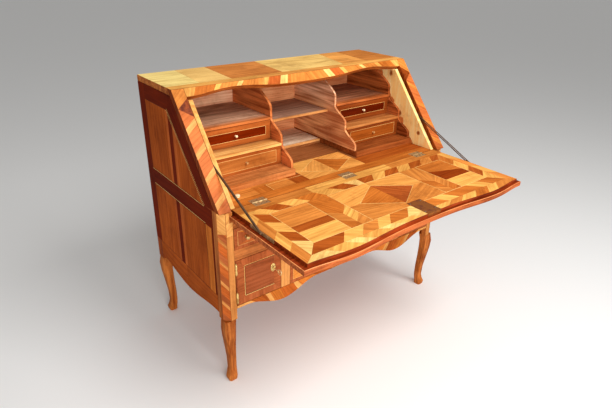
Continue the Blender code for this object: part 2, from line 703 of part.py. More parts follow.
def fall_panel(fall):
    lip_side = STILE_X + LIP_OVERLAP - FALL_X
    lip_from = AXIS_Y + REVEAL
    under = AXIS_Z - FALL_THICKNESS
    shelf = AXIS_Z - FALL_PANEL
    rings = []
    half = LIP_ROUND / 2
    for z, shrink in ((under, LIP_ROUND), (under + LIP_ROUND, 0.0), (shelf - half, 0.0), (shelf, half)):
        shape = fall_outline(lip_side - shrink, LIP_OVERLAP - shrink, lip_from + shrink)
        rings.append([(x, y, z) for x, y in shape])
    lid = piece("fall_panel", [loft(rings)], FRUITWOOD, fall)
    panel = fall_outline(0.0, 0.0, lip_from)
    plain = panel[:41] + [(FALL_X, AXIS_Y), (-FALL_X, AXIS_Y)]
    join(lid, [prism(plain, "Z", shelf - FALL_LIP / 2, AXIS_Z)])
    pockets = []
    for x in fall_hinge_places():
        wide = (x - FALL_HINGE_WIDTH / 2 - SEAT, x + FALL_HINGE_WIDTH / 2 + SEAT)
        leaf = (AXIS_Y - KNUCKLE - FALL_HINGE_LEAF - SEAT, AXIS_Y + BED_EDGE)
        pockets.append(block(wide, leaf, (AXIS_Z - LEAF - SEAT, AXIS_Z + BOARD)))
        knuckle = (AXIS_Y - KNUCKLE - REVEAL, AXIS_Y + BED_EDGE)
        pockets.append(block(wide, knuckle, (AXIS_Z - KNUCKLE - REVEAL, AXIS_Z)))
    pockets.append(lock_plate(SEAT, BOW))
    cut(lid, pockets)


def lock_plate(play, extra):
    """Lock plate let into the fall's inner face, turned down over its front edge."""
    front = AXIS_Y - FALL_LENGTH
    shelf = AXIS_Z - FALL_PANEL
    wide = LOCK_WIDTH / 2 + play
    back = front + LOCK_DEPTH + play
    plate = LOCK_PLATE + play
    edge = front - bow(LOCK_OFFSET + wide) + plate * 0.5
    outline = [(edge - plate - extra, shelf + SEAT - play), (edge + plate, shelf + SEAT - play)]
    outline += [(edge + plate, AXIS_Z - plate), (back, AXIS_Z - plate), (back, AXIS_Z + extra)]
    outline.append((edge - plate - extra, AXIS_Z + extra))
    return prism(outline, "X", LOCK_OFFSET - wide, LOCK_OFFSET + wide)


def stays(desk, fall):
    """Slotted bars: each turns on a stud on the fall's edge and slides on a pin that the liner holds."""
    reach = 2 * STAY_ARM * math.sin(STAY_SPREAD / 2)
    stud = (AXIS_Y - STUD_S, AXIS_Z - STUD_DROP)
    pin = slant(PIN_S, -STAY_PIN_DEPTH)
    along = (pin[0] - stud[0], pin[1] - stud[1])
    along = (along[0] / reach, along[1] / reach)

    def at(s, v):
        return (stud[0] + along[0] * s - along[1] * v, stud[1] + along[1] * s + along[0] * v)

    half = STAY_WIDTH / 2
    end = reach + STAY_TAIL
    bar = [at(half * math.sin(a), half * math.cos(a)) for a in spread(math.pi, 2 * math.pi, 8)]
    bar += [at(end - half + half * math.sin(a), half * math.cos(a)) for a in spread(0, math.pi, 8)]
    slot_half = STAY_PIN_RADIUS + PIVOT_PLAY
    closed_gap = 2 * STAY_ARM * math.sin((STAY_SPREAD - OPEN_SWING) / 2)
    slot = [at(closed_gap - slot_half, -slot_half), at(reach + slot_half, -slot_half)]
    slot += [at(reach + slot_half, slot_half), at(closed_gap - slot_half, slot_half)]
    thick = (STAY_X - STAY_THICKNESS / 2, STAY_X + STAY_THICKNESS / 2)
    wide = (thick[0] - STAY_THICKNESS, thick[1] + STAY_THICKNESS)
    for side, out in (("left", -1), ("right", 1)):
        flip = mirrored if out < 0 else tuple
        place = empty(f"stay_{side}_axis", (out * STAY_X, *stud), fall)
        bar_piece = piece(f"stay_{side}", [flip(prism(bar, "X", *thick))], IRON, place)
        cut(bar_piece, [flip(prism(slot, "X", *wide))])
        cut(bar_piece, [flip(rod("X", stud, STUD_RADIUS + PIVOT_PLAY, *wide))])
        plate_x = (FALL_X + SEAT, FALL_X + SEAT + BRACKET_PLATE)
        plate_y = (stud[0] - BRACKET_LENGTH / 2, stud[0] + BRACKET_LENGTH / 2)
        plate = block(plate_x, plate_y, (AXIS_Z - FALL_PANEL + SEAT, AXIS_Z - SEAT))
        bracket = piece(f"stay_bracket_{side}", [flip(plate)], IRON, fall)
        join(bracket, [flip(rod("X", stud, STUD_RADIUS, plate_x[0] + SEAT, thick[1] + SEAT))])


def the_fall(desk):
    fall = empty("fall_axis", (0, AXIS_Y, AXIS_Z), desk)
    fall_panel(fall)
    piece("fall_lock", [lock_plate(0.0, 0.0)], IRON, fall)
    fall_hinges(desk, fall)
    stays(desk, fall)


# Fitted interior


def divider_outline():
    """Side view of a divider: its front steps back in three ogee curves, each with an upright nose below."""
    foot = WRITING_HEIGHT + LEDGE_HEIGHT + SEAT
    head = UNDER_TOP - SEAT
    levels = [foot, WRITING_HEIGHT + STEP_HEIGHT, WRITING_HEIGHT + SHELF_HEIGHT, head]
    outline = [(BACK_Y - SEAT, head), (BACK_Y - SEAT, foot)]
    for low, high in zip(levels, levels[1:]):
        for t in spread(0, 1, 12)[:-1]:
            sweep = max(0.0, min(1.0, (t - DIVIDER_NOSE) / (0.94 - DIVIDER_NOSE)))
            ease = sweep * sweep * (3 - 2 * sweep)
            outline.append((fit_line(low) + (fit_line(high) - fit_line(low)) * ease, low + (high - low) * t))
    outline.append((fit_line(head), head))
    return outline


def bank_limits():
    """X limits of the right-hand bank of small drawers, between two dividers."""
    return CENTRE_BAY / 2 + DIVIDER + SEAT, END_X - DIVIDER - SEAT


def pair(name, solid, finish, desk, ease):
    """A piece and its mirror twin."""
    left = piece(f"{name}_left", [mirrored(solid)], finish, desk, ease=ease)
    right = piece(f"{name}_right", [solid], finish, desk, ease=ease)
    return left, right


def liners(desk):
    """Boards behind the slanted stiles. Each holds the pin that its stay slides on."""
    foot, head = WRITING_HEIGHT + SEAT, UNDER_TOP - SEAT
    back = BACK_Y - SEAT
    step = RAIL_EDGE - FALL_CLEAR
    outline = [slant_at(foot, -FALL_SEAT), slant(step, -FALL_SEAT), slant(step, STILE_BACK - SEAT)]
    outline += [slant_at(head, STILE_BACK - SEAT), (back, head), (back, foot)]
    left, right = pair("liner", prism(outline, "X", LINER_X - LINER, LINER_X), PALE_WOOD, desk, 0.0008)
    reach = STAY_X + STAY_THICKNESS / 2 + SEAT
    pin = rod("X", slant(PIN_S, -STAY_PIN_DEPTH), STAY_PIN_RADIUS, LINER_X - LINER / 2, reach)
    join(left, [mirrored(pin)])
    join(right, [pin])


def fitted_interior(desk):
    """Plinth, dividers, shelves and the step of the middle compartment."""
    foot = WRITING_HEIGHT + SEAT
    back = BACK_Y - SEAT
    rise = WRITING_HEIGHT + CENTRE_STEP_HEIGHT
    step_front = fit_line(rise) + CENTRE_STEP_SETBACK
    plinth_front = fit_line(foot) + SHELF / 2
    notch = CENTRE_BAY / 2
    ledge = block((notch, END_X), (plinth_front, back), (foot, WRITING_HEIGHT + LEDGE_HEIGHT))
    plinth = piece("interior_plinth", [ledge], WALNUT, desk, ease=0.0010)
    link_front, link_top = back - LINK_DEPTH, WRITING_HEIGHT + LINK_HEIGHT
    link = block((-notch - DIVIDER, notch + DIVIDER), (link_front, back), (foot, link_top))
    join(plinth, [link])
    join(plinth, [mirrored(ledge)])
    shape = divider_outline()
    pair("end_divider", prism(shape, "X", END_X - DIVIDER, END_X), WALNUT, desk, 0.0008)
    pair("inner_divider", prism(shape, "X", notch, notch + DIVIDER), WALNUT, desk, 0.0008)
    bank = bank_limits()
    shelf_z = (foot + SHELF_HEIGHT - SHELF, foot + SHELF_HEIGHT)
    step_z = (foot + STEP_HEIGHT - SHELF, foot + STEP_HEIGHT)
    pair("upper_shelf", block(bank, (fit_line(shelf_z[0]), back), shelf_z), WALNUT, desk, 0.0012)
    pair("step_shelf", block(bank, (fit_line(step_z[0]), back), step_z), WALNUT, desk, 0.0012)
    middle = (-notch + SEAT, notch - SEAT)
    centre_z = (foot + CENTRE_SHELF_HEIGHT - SHELF, foot + CENTRE_SHELF_HEIGHT)
    centre = block(middle, (fit_line(centre_z[0]) + CENTRE_SHELF_SETBACK, back), centre_z)
    piece("centre_shelf", [centre], WALNUT, desk, ease=0.0012)
    section = [(step_front, foot), (link_front - SEAT, foot), (link_front - SEAT, link_top + SEAT)]
    section += [(back, link_top + SEAT), (back, rise), (step_front, rise)]
    piece("centre_step", [prism(section, "X", *middle)], WALNUT, desk, ease=0.0005)


def small_drawer(desk, name, x, front, z):
    """Open-topped tray with one turned knob."""
    place = empty(f"{name}_slide", ((x[0] + x[1]) / 2, front, (z[0] + z[1]) / 2), desk)
    back = BACK_Y - DRAWER_BACK_GAP / 2
    drawer = piece(name, [block(x, (front, back), z)], WALNUT, place, ease=0.0006)
    hollow_x = (x[0] + SMALL_WALL, x[1] - SMALL_WALL)
    hollow_y = (front + SMALL_FRONT, back - SMALL_WALL)
    cut(drawer, [block(hollow_x, hollow_y, (z[0] + SMALL_BOTTOM, z[1] + BOARD))])
    join(drawer, [knob(sum(x) / 2, sum(z) / 2, front, SMALL_KNOB)])


def small_drawers(desk):
    low, high = bank_limits()
    x = (low + REVEAL, high - REVEAL)
    foot = WRITING_HEIGHT + SEAT
    rows = (
        ("lower", WRITING_HEIGHT + LEDGE_HEIGHT + SEAT, foot + STEP_HEIGHT - SHELF - REVEAL),
        ("upper", foot + STEP_HEIGHT + SEAT, foot + SHELF_HEIGHT - SHELF - REVEAL),
    )
    for row, bottom, top in rows:
        front = fit_line(top + REVEAL) + DRAWER_RECESS
        small_drawer(desk, f"small_drawer_left_{row}", (-x[1], -x[0]), front, (bottom, top))
        small_drawer(desk, f"small_drawer_right_{row}", x, front, (bottom, top))


def main():
    for old in list(bpy.data.objects):
        bpy.data.objects.remove(old)
    desk = empty("desk", (0, 0, 0))
    case_sides(desk)
    top_and_back(desk)
    slant_frame(desk)
    corner_posts(desk)
    legs(desk)
    apron(desk)
    case_bottom(desk)
    inner_frame(desk)
    case_drawers(desk)
    doors(desk)
    writing_bed(desk)
    the_fall(desk)
    liners(desk)
    fitted_interior(desk)
    small_drawers(desk)
    fall_front = min(y for x, y in fall_outline(0.0, LIP_OVERLAP, 0.0))
    desk.location.y = -(fall_front + CASE_DEPTH + KNEE_SWELL) / 2


main()
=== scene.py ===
# %% [markdown]
# # A slant-front desk
# The desk is a walnut case on short curved legs. Its sloping fall lets down on two thin iron stays
# and becomes a writing surface, laid with a pattern of light, middle and dark veneers.
# The solid assembly already has its hinges, slides and keys. Here every board gets its timber, and
# the thin things that a joiner glues or screws on last are added: veneers, strings, knobs, screws.

import random
from math import cos, pi, radians, sin

import bpy
from mathutils import Matrix, Vector


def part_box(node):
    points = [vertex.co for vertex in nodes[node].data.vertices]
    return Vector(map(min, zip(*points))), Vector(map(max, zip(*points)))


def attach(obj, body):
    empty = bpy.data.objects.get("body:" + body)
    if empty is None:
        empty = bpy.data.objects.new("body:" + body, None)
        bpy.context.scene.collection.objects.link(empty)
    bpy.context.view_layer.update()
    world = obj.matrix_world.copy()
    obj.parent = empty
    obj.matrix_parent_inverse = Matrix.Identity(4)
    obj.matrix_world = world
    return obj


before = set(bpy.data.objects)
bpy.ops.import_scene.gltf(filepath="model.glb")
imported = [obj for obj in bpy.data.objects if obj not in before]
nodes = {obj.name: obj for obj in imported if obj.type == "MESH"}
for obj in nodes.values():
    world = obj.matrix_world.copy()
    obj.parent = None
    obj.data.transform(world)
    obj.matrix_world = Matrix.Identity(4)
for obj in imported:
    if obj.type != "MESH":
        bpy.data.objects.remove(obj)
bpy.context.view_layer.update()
chance = random.Random(7)

# %% [markdown]
# ## Short words for nodes
# Materials and geometry trees are graphs of small nodes. They could be placed by hand in the editor,
# but a script can be read, repeated and corrected. These helpers make one node, or one common set of
# nodes, per line. Colours are given in the usual values of 0 to 255 and turned into the linear light
# that the renderer counts in.


# %% Node helpers
def shade(red, green, blue):
    """Linear colour from the usual values of 0 to 255."""
    return tuple((c / 255) ** 2.2 for c in (red, green, blue)) + (1.0,)


def node(tree, kind, wires=None, **settings):
    """New node; each wire is a socket to link or a value to set."""
    made = tree.nodes.new(kind)
    for key, value in settings.items():
        setattr(made, key, value)
    for key, value in (wires or {}).items():
        if isinstance(value, bpy.types.NodeSocket):
            tree.links.new(value, made.inputs[key])
        else:
            made.inputs[key].default_value = value
    return made


def sums(tree, operation, *values):
    """Output of one arithmetic node."""
    return node(tree, "ShaderNodeMath", dict(enumerate(values)), operation=operation).outputs[0]


def group(name, inputs, outputs, kind="ShaderNodeTree"):
    """New node group with its ends."""
    tree = bpy.data.node_groups.new(name, kind)
    for label, socket, value in inputs:
        made = tree.interface.new_socket(label, in_out="INPUT", socket_type=socket)
        if value is not None:
            made.default_value = value
    for label, socket in outputs:
        tree.interface.new_socket(label, in_out="OUTPUT", socket_type=socket)
    return tree, tree.nodes.new("NodeGroupInput").outputs, tree.nodes.new("NodeGroupOutput").inputs


def noise(tree, vector, scale, detail, distortion=0.0):
    """Noise with its own scale along each axis."""
    turned = node(tree, "ShaderNodeMapping", {"Vector": vector, "Scale": scale})
    wires = {"Vector": turned.outputs[0], "Scale": 1.0, "Detail": detail, "Distortion": distortion}
    return node(tree, "ShaderNodeTexNoise", wires).outputs["Fac"]


def ramp(tree, value, low, high, to_low=0.0, to_high=1.0):
    """Value mapped from one range to another and held there."""
    wires = {0: value, 1: low, 2: high, 3: to_low, 4: to_high}
    return node(tree, "ShaderNodeMapRange", wires).outputs[0]


def blend(tree, factor, first, second, mode="MIX"):
    """Mix of two colours."""
    wires = {0: factor, 6: first, 7: second}
    return node(tree, "ShaderNodeMix", wires, data_type="RGBA", blend_type=mode).outputs[2]


print("middle grey is", round(shade(128, 128, 128)[0], 3), "in linear light")

# %% [markdown]
# ## Timber
# Planed wood shows four things at once: slow bands where the blade crossed the yearly rings, streaks
# of darker wood, fine fibres along the grain, and open pores. Pictures of wood would be quicker, but
# they repeat. So one node group draws all four from a vector whose X runs along the grain, and any
# board or veneer can use it. The bands are contour lines of a stretched noise, which gives the pointed
# arches of sawn boards.

# %% Timber group
colour, number, vector = "NodeSocketColor", "NodeSocketFloat", "NodeSocketVector"
timber, given, made = group(
    "timber",
    [("Vector", vector, None), ("Light", colour, None), ("Dark", colour, None), ("Figure", number, 0.5)],
    [("Color", colour), ("Roughness", number), ("Height", number)],
)
along = given["Vector"]
swirl = noise(timber, along, (1.5, 8.0, 8.0), 2.0, 0.3)
bands = sums(timber, "SINE", sums(timber, "MULTIPLY", swirl, 46.0))
fibre = noise(timber, along, (6.0, 240.0, 240.0), 4.0)
streak = noise(timber, along, (5.0, 105.0, 105.0), 3.0)
patch = noise(timber, along, (2.5, 6.0, 6.0), 1.0)
pore = ramp(timber, noise(timber, along, (70.0, 1300.0, 1300.0), 1.0), 0.62, 0.70)
level = sums(timber, "MULTIPLY", sums(timber, "MULTIPLY", bands, given["Figure"]), 0.30)
level = sums(timber, "ADD", level, ramp(timber, fibre, 0.25, 0.75, 0.25, 0.75))
level = sums(timber, "ADD", level, ramp(timber, streak, 0.32, 0.68, -0.36, 0.36))
level = sums(timber, "ADD", level, ramp(timber, patch, 0.3, 0.7, -0.25, 0.25))
face = blend(timber, ramp(timber, level, 0.0, 1.0), given["Dark"], given["Light"])
pored = blend(timber, sums(timber, "MULTIPLY", pore, 0.35), face, given["Dark"], "MULTIPLY")
timber.links.new(pored, made["Color"])
timber.links.new(ramp(timber, fibre, 0.3, 0.7, 0.40, 0.54), made["Roughness"])
timber.links.new(sums(timber, "SUBTRACT", fibre, pore), made["Height"])
print("timber group has", len(timber.nodes), "nodes")

# %% [markdown]
# ## Two hundred years of handling
# Old polish is not even. Hands and dusters rub it thin and leave it lighter and duller in patches,
# and wax and dirt stay dark where nothing rubs. Such wear could be painted on every board. Here a
# large and a small noise are added, and the second group gives their high and low places as masks.

# %% Handling group
handling, given, made = group(
    "handling", [("Vector", vector, None)], [("Rubbed", number), ("Grime", number)]
)
cloud = sums(handling, "MULTIPLY", noise(handling, given["Vector"], (7.0, 7.0, 7.0), 6.0), 0.75)
speck = sums(handling, "MULTIPLY", noise(handling, given["Vector"], (55.0, 55.0, 55.0), 3.0), 0.25)
both = sums(handling, "ADD", cloud, speck)
handling.links.new(ramp(handling, both, 0.52, 0.66), made["Rubbed"])
handling.links.new(ramp(handling, both, 0.46, 0.34), made["Grime"])
print("handling group has", len(handling.nodes), "nodes")

# %% [markdown]
# ## From groups to a finish
# The finish draws the timber, multiplies the rubbed and grimy patches over it and adds the fine relief
# of the fibres. A strong mirror over all of it would look like varnish. On this desk the polish is old
# wax, so the mirror part comes only from a thin coat.

# %% Finish
RUBBED, GRIMY = (1.20, 1.22, 1.26, 1), (0.25, 0.12, 0.05, 1)


def finish(material, figure, where, height=0.0004, polish=0.16):
    """Joins a timber figure, old polish and fine relief to a material's shader."""
    tree = material.node_tree
    shader = tree.nodes["Principled BSDF"]
    masks = node(tree, "ShaderNodeGroup", {"Vector": where}, node_tree=handling).outputs
    worn_and_lit = sums(tree, "MULTIPLY", masks["Rubbed"], 0.6)
    rubbed = blend(tree, worn_and_lit, figure[0], RUBBED, "MULTIPLY")
    grime = sums(tree, "MULTIPLY", masks["Grime"], 0.30)
    tree.links.new(blend(tree, grime, rubbed, GRIMY, "MULTIPLY"), shader.inputs["Base Color"])
    dull = sums(tree, "MULTIPLY", masks["Rubbed"], 0.16)
    tree.links.new(sums(tree, "ADD", figure[1], dull), shader.inputs["Roughness"])
    bump = node(tree, "ShaderNodeBump", {"Height": figure[2], "Strength": 0.35, "Distance": height})
    tree.links.new(bump.outputs[0], shader.inputs["Normal"])
    shader.inputs["Specular IOR Level"].default_value = 0.0
    shader.inputs["Coat Weight"].default_value = polish
    shader.inputs["Coat Roughness"].default_value = 0.30
    return material


def figured(tree, where, light, dark, strength):
    """Outputs of the timber group for one wood."""
    wires = {"Light": light, "Dark": dark, "Figure": strength, "Vector": where}
    return list(node(tree, "ShaderNodeGroup", wires, node_tree=timber).outputs)


print("rubbed places are", RUBBED[0], "times as light")

# %% [markdown]
# ## From a finish to a board
# A board's material turns the grain to the long way of the board and shifts it by chance, so that each
# one shows another part of the tree. Some boards change colour past a line, where they carry a painted
# shadow, dust with a painted sheen, or a second wood, so a board can carry two woods.

# %% Board material
TURN = {"X": (0, 0, 0), "Y": (0, 0, radians(-90)), "Z": (0, radians(90), 0)}


def board(name, light, dark, axis="X", strength=0.5, past=None, soft=0.0002, polish=0.16):
    """Wood for a whole board; `past` changes to a second wood beyond a level on one axis."""
    material = bpy.data.materials.new(name)
    material.use_nodes = True
    tree = material.node_tree
    place = node(tree, "ShaderNodeTexCoord").outputs["Object"]
    shift = tuple(chance.uniform(-9, 9) for _ in range(3))
    wires = {"Vector": place, "Rotation": TURN[axis], "Location": shift}
    grain = node(tree, "ShaderNodeMapping", wires).outputs[0]
    figure = figured(tree, grain, shade(*light), shade(*dark), strength)
    if past:
        across, level, second_light, second_dark = past
        split = node(tree, "ShaderNodeSeparateXYZ", {0: place}).outputs[across]
        beyond = ramp(tree, split, level - soft / 2, level + soft / 2)
        other = figured(tree, grain, shade(*second_light), shade(*second_dark), strength)
        figure[0] = blend(tree, beyond, figure[0], other[0])
    return finish(material, figure, place, polish=polish)


print("grain can run along", *TURN)

# %% [markdown]
# ## Boards of the case
# Outside, the case is walnut with the grain running the long way of each board. A solid keeps its
# shape; only its material slot is filled. Every material starts at its own place in the pattern, so
# that no two look as if they were sawn from the same plank.

# %% Case boards
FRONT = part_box("apron")[0].y
FALL_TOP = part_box("fall_panel")[1].z
WALNUT = ((204, 120, 58), (136, 66, 26))


def give(material, *names):
    """One material for some of the solid pieces."""
    for name in names:
        mesh = nodes[name].data
        mesh.materials.clear()
        mesh.materials.append(material)


def hands(*names):
    """Names of the left and right piece."""
    return [f"{name}_{hand}" for name in names for hand in ("left", "right")]


give(board("walnut_upright", *WALNUT, axis="Z"), *hands("leg_front", "leg_rear", "corner_post"))
give(board("walnut_sides", (160, 74, 26), (98, 38, 11), axis="Z"), *hands("side", "slant_stile"))
give(board("walnut_level", *WALNUT), "apron", "top_rail", "top_board", "writing_bed")
print("walnut on", sum(1 for n in nodes.values() if n.data.materials), "pieces")

# %% [markdown]
# ## Boards of the fitted interior
# Behind the fall the dividers and shelves are plain boards. The upper part of the right divider is
# paler. The shelves are grey behind their front edges, partly from dust and partly from a painted sheen.
# The step shelves are lit at the front and carry a painted shadow further back, under the shelf above.
# The right half is painted darker than the left, as painted shade where less light falls, so some boards
# have a wood of their own for each hand. These changes begin along straight lines here, so a soft change
# along one axis does what a painted mask would do.

# %% Interior boards
X, Y, Z = 0, 1, 2
streaks = {"axis": "Y", "strength": 0.9}
give(board("walnut_divider_left", (226, 132, 74), (140, 66, 32), **streaks), "inner_divider_left")
# the right divider is paler above this height
paler_top = (Z, 0.93, (255, 204, 166), (176, 120, 84))
split_board = board("walnut_divider_right", (255, 186, 126), (184, 106, 64), past=paler_top, soft=0.08, **streaks)
give(split_board, "inner_divider_right")
give(board("end_dividers", (200, 108, 56), (112, 50, 20), **streaks), *hands("end_divider"))
give(board("tan_uprights", (222, 152, 84), (160, 90, 42), axis="Z"), *hands("partition"))
give(board("rail_wood", (198, 118, 62), (138, 74, 34)), "drawer_floor")

NOSING = ((240, 172, 104), (180, 112, 60))
# grey behind the front edge: partly dust, partly a painted sheen
SHEEN_AND_DUST_GREY = ((190, 146, 120), (126, 90, 70))
PALE_SHEEN_AND_DUST = ((255, 226, 192), (184, 140, 110))
for name, sheen_and_dust in (("centre_shelf", SHEEN_AND_DUST_GREY), ("centre_step", PALE_SHEEN_AND_DUST)):
    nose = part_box(name)[0].y + 0.009
    give(board(f"dry_{name}", *NOSING, past=(Y, nose, *sheen_and_dust), soft=0.004), name)

# grey behind the front edge: partly dust, partly a painted sheen; the right shelf is also painted darker
# as shade
SHELF_SHEEN_AND_DUST = {"left": ((222, 174, 140), (146, 104, 76)), "right": ((186, 120, 86), (114, 70, 48))}
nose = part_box("upper_shelf_left")[0].y + 0.030
for hand, sheen_dust in SHELF_SHEEN_AND_DUST.items():
    under_sheen_dust = (Y, nose, *sheen_dust)
    split_board = board(f"sheen_dust_shelf_{hand}", (212, 122, 64), (150, 76, 38), past=under_sheen_dust, soft=0.04)
    give(split_board, f"upper_shelf_{hand}")
# painted light and shade: lit fronts, painted darker on the right, and a painted shadow behind them
# under the upper shelves
LIT_STEP_FRONTS = {"left": ((255, 200, 118), (214, 142, 72)), "right": ((225, 150, 85), (170, 100, 50))}
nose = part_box("step_shelf_left")[0].y + 0.058
shaded = (Y, nose, (160, 84, 44), (102, 48, 22))
for hand, worn_and_lit in LIT_STEP_FRONTS.items():
    give(board(f"lit_step_shelf_{hand}", *worn_and_lit, past=shaded, soft=0.05), f"step_shelf_{hand}")
# painted shade: the right half of the plinth is darker, where less light falls
shaded_right_half = (X, 0.0, (164, 88, 44), (110, 52, 24))
give(board("plinth_wood", (222, 140, 80), (162, 92, 46), past=shaded_right_half), "interior_plinth")
print("wood on", sum(1 for n in nodes.values() if n.data.materials), "pieces")

# %% [markdown]
# ## Back, fall, doors and drawers
# The makers saved money where nobody looks: the back was never polished, and behind their walnut
# fronts the drawers are lined with a pale wood. A drawer is one solid here, so its wood changes just
# behind the front. In the same way the fall gets a dark rebate round its edge, and the back is lighter
# behind the left shelves, where more light falls in.

# %% Back, fall, doors and drawers
LINING = ((206, 150, 88), (150, 98, 52))
beside = (X, -0.166, (240, 166, 114), (190, 108, 66))
give(board("back_boards", (255, 206, 164), (214, 144, 106), past=beside, polish=0.0), "back_panel")
give(board("bottom_boards", (208, 116, 64), (140, 66, 32), polish=0.0), "case_bottom")
rebate = (Z, FALL_TOP - 0.0135, (156, 62, 28), (92, 32, 12))
give(board("fall_wood", (196, 104, 56), (124, 56, 26), past=rebate), "fall_panel")
give(board("door_wood", (172, 88, 48), (108, 48, 22)), *hands("door"))
FRONT_DEPTH = 0.0198
for name in hands("drawer") + ["wide_drawer_upper", "wide_drawer_lower"]:
    give(board(name + "_wood", *WALNUT, past=(Y, FRONT + FRONT_DEPTH, *LINING)), name)
for name in hands("small_drawer"):
    for level in ("lower", "upper"):
        full = f"{name}_{level}"
        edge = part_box(full)[0].y + FRONT_DEPTH
        give(board(full + "_wood", (178, 92, 46), (112, 50, 22), past=(Y, edge, *LINING)), full)
print("wood on", sum(1 for n in nodes.values() if n.data.materials), "pieces")

# %% [markdown]
# ## Knots in the fir
# The cheeks beside the writing space are two boards of fir. A knot is the stump of a branch: a hard
# brown eye that the growth rings flow round. Cells scattered over the board give one eye each, longer
# along the grain than across, with a paler ring about it. The right board is painted paler, as painted
# light where the lamp falls on it, and it has one more eye low down. Towards the back it turns brown
# along a wavy line.

# %% Knots
FIR = ((240, 178, 98), (208, 136, 64))
# painted light: the right cheek's fir is painted paler where light falls on it
LIT_FIR = ((255, 234, 164), (255, 206, 126))
STEEP = 1.2145
KNOT = (0.009, 0.786)
for hand, wood, brown_from in (("left", FIR, 0.0), ("right", LIT_FIR, 0.105)):
    fir = board(f"knotty_fir_{hand}", *wood, axis="Z", strength=1.0, polish=0.10)
    tree = fir.node_tree
    shader = tree.nodes["Principled BSDF"]
    plain = shader.inputs["Base Color"].links[0].from_socket
    place = node(tree, "ShaderNodeTexCoord").outputs["Object"]
    parts = node(tree, "ShaderNodeSeparateXYZ", {0: place}).outputs
    wavy = noise(tree, place, (24.0, 24.0, 24.0), 2.0)
    ripple = sums(tree, "MULTIPLY", wavy, 0.3)
    depth = sums(tree, "ADD", sums(tree, "MULTIPLY", parts[Y], 11.0), ripple)
    height = sums(tree, "MULTIPLY", parts[Z], 7.5)
    spread = node(tree, "ShaderNodeCombineXYZ", {0: depth, 1: height}).outputs[0]
    cell = node(tree, "ShaderNodeTexVoronoi", {"Vector": spread, "Scale": 1.0}, voronoi_dimensions="2D")
    eye = ramp(tree, cell.outputs["Distance"], 0.13, 0.06)
    ring = sums(tree, "MULTIPLY", ramp(tree, cell.outputs["Distance"], 0.34, 0.12), 0.40)
    flowing = blend(tree, ring, plain, shade(220, 142, 70))
    look = blend(tree, eye, flowing, shade(146, 80, 38))
    # darker brown towards the back, past a wavy line
    if brown_from:
        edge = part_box(f"liner_{hand}")[0]
        slope = sums(tree, "MULTIPLY", sums(tree, "SUBTRACT", parts[Z], edge.z), 1 / STEEP)
        inward = sums(tree, "SUBTRACT", sums(tree, "SUBTRACT", parts[Y], edge.y), slope)
        swing = sums(tree, "MULTIPLY", sums(tree, "SUBTRACT", wavy, 0.5), 0.09)
        band = ramp(tree, sums(tree, "ADD", inward, swing), brown_from, brown_from + 0.008)
        look = blend(tree, band, look, shade(200, 116, 58))
        wires = {0: place, 1: (edge.x, *KNOT)}
        away = node(tree, "ShaderNodeVectorMath", wires, operation="DISTANCE").outputs["Value"]
        look = blend(tree, ramp(tree, away, 0.012, 0.006), look, shade(150, 84, 40))
    tree.links.new(look, shader.inputs["Base Color"])
    give(fir, f"liner_{hand}")
print("fir has", len(tree.nodes), "nodes")

# %% [markdown]
# ## Iron, brass and bone
# The stays, hinge leaves and lock cases are forged iron, browned by rust and handling. The keys and
# the small door hinges are brass, bright where fingers touch them and brown elsewhere. One flat colour
# would look new, so a noise mixes bright and tarnished places, and tarnish is rough and hardly shines.
# A few turned things are bone, which is so close and pale that a wood with little figure can show it.


# %% Metals
def metal(name, bright, tarnish, roughness, grain):
    """Old metal, tarnished in patches."""
    material = bpy.data.materials.new(name)
    material.use_nodes = True
    tree = material.node_tree
    shader = tree.nodes["Principled BSDF"]
    place = node(tree, "ShaderNodeTexCoord").outputs["Object"]
    spots = noise(tree, place, (grain, grain, grain), 6.0)
    fine = noise(tree, place, (grain * 9,) * 3, 3.0)
    stain = ramp(tree, spots, 0.40, 0.62)
    shine = ramp(tree, spots, 0.35, 0.65, roughness, roughness + 0.25)
    bump = node(tree, "ShaderNodeBump", {"Height": fine, "Strength": 0.4, "Distance": 0.0004})
    for label, socket in (
        ("Base Color", blend(tree, stain, shade(*bright), shade(*tarnish))),
        ("Roughness", shine),
        ("Metallic", ramp(tree, stain, 0.0, 1.0, 0.85, 0.35)),
        ("Normal", bump.outputs[0]),
    ):
        tree.links.new(socket, shader.inputs[label])
    return material


iron = metal("iron", (122, 92, 66), (80, 50, 30), 0.42, 60.0)
lock_iron = metal("lock_iron", (176, 102, 40), (116, 60, 22), 0.42, 50.0)
# pale iron: the hinge leaves' own colour; on the stay brackets this paleness is a painted highlight
pale_iron = metal("pale_iron", (212, 176, 124), (150, 110, 68), 0.40, 80.0)
brass = metal("brass", (244, 212, 132), (166, 124, 62), 0.22, 70.0)
key_brass = metal("key_brass", (255, 240, 190), (226, 188, 118), 0.24, 70.0)
knob_brass = metal("knob_brass", (222, 186, 116), (150, 108, 56), 0.30, 90.0)
bone = board("bone", (250, 230, 190), (224, 190, 136), axis="Y", strength=0.2, polish=0.5)
places = ("left", "middle", "right")
leaves = [f"{end}_hinge_leaf_{place}" for end in ("bed", "fall") for place in places]
forged = {
    lock_iron: ["fall_lock"],
    iron: hands("stay", "door_lock", "bolt"),
    pale_iron: leaves + hands("stay_bracket"),
    key_brass: hands("key"),
}
for stuff, names in forged.items():
    give(stuff, *names)
print("metal on", sum(len(names) for names in forged.values()), "pieces")

# %% [markdown]
# ## The tones of the veneers
# A veneer is a leaf of wood less than a millimetre thick, cut to shape with a fine saw and glued down
# beside its neighbours. The pattern lives from the tones of the leaves, from nearly cream to a deep
# red brown. They are named once in a table, so that a tile can say its tone in a word. The tones called
# dim are for the right half of the interior, which sees less light.

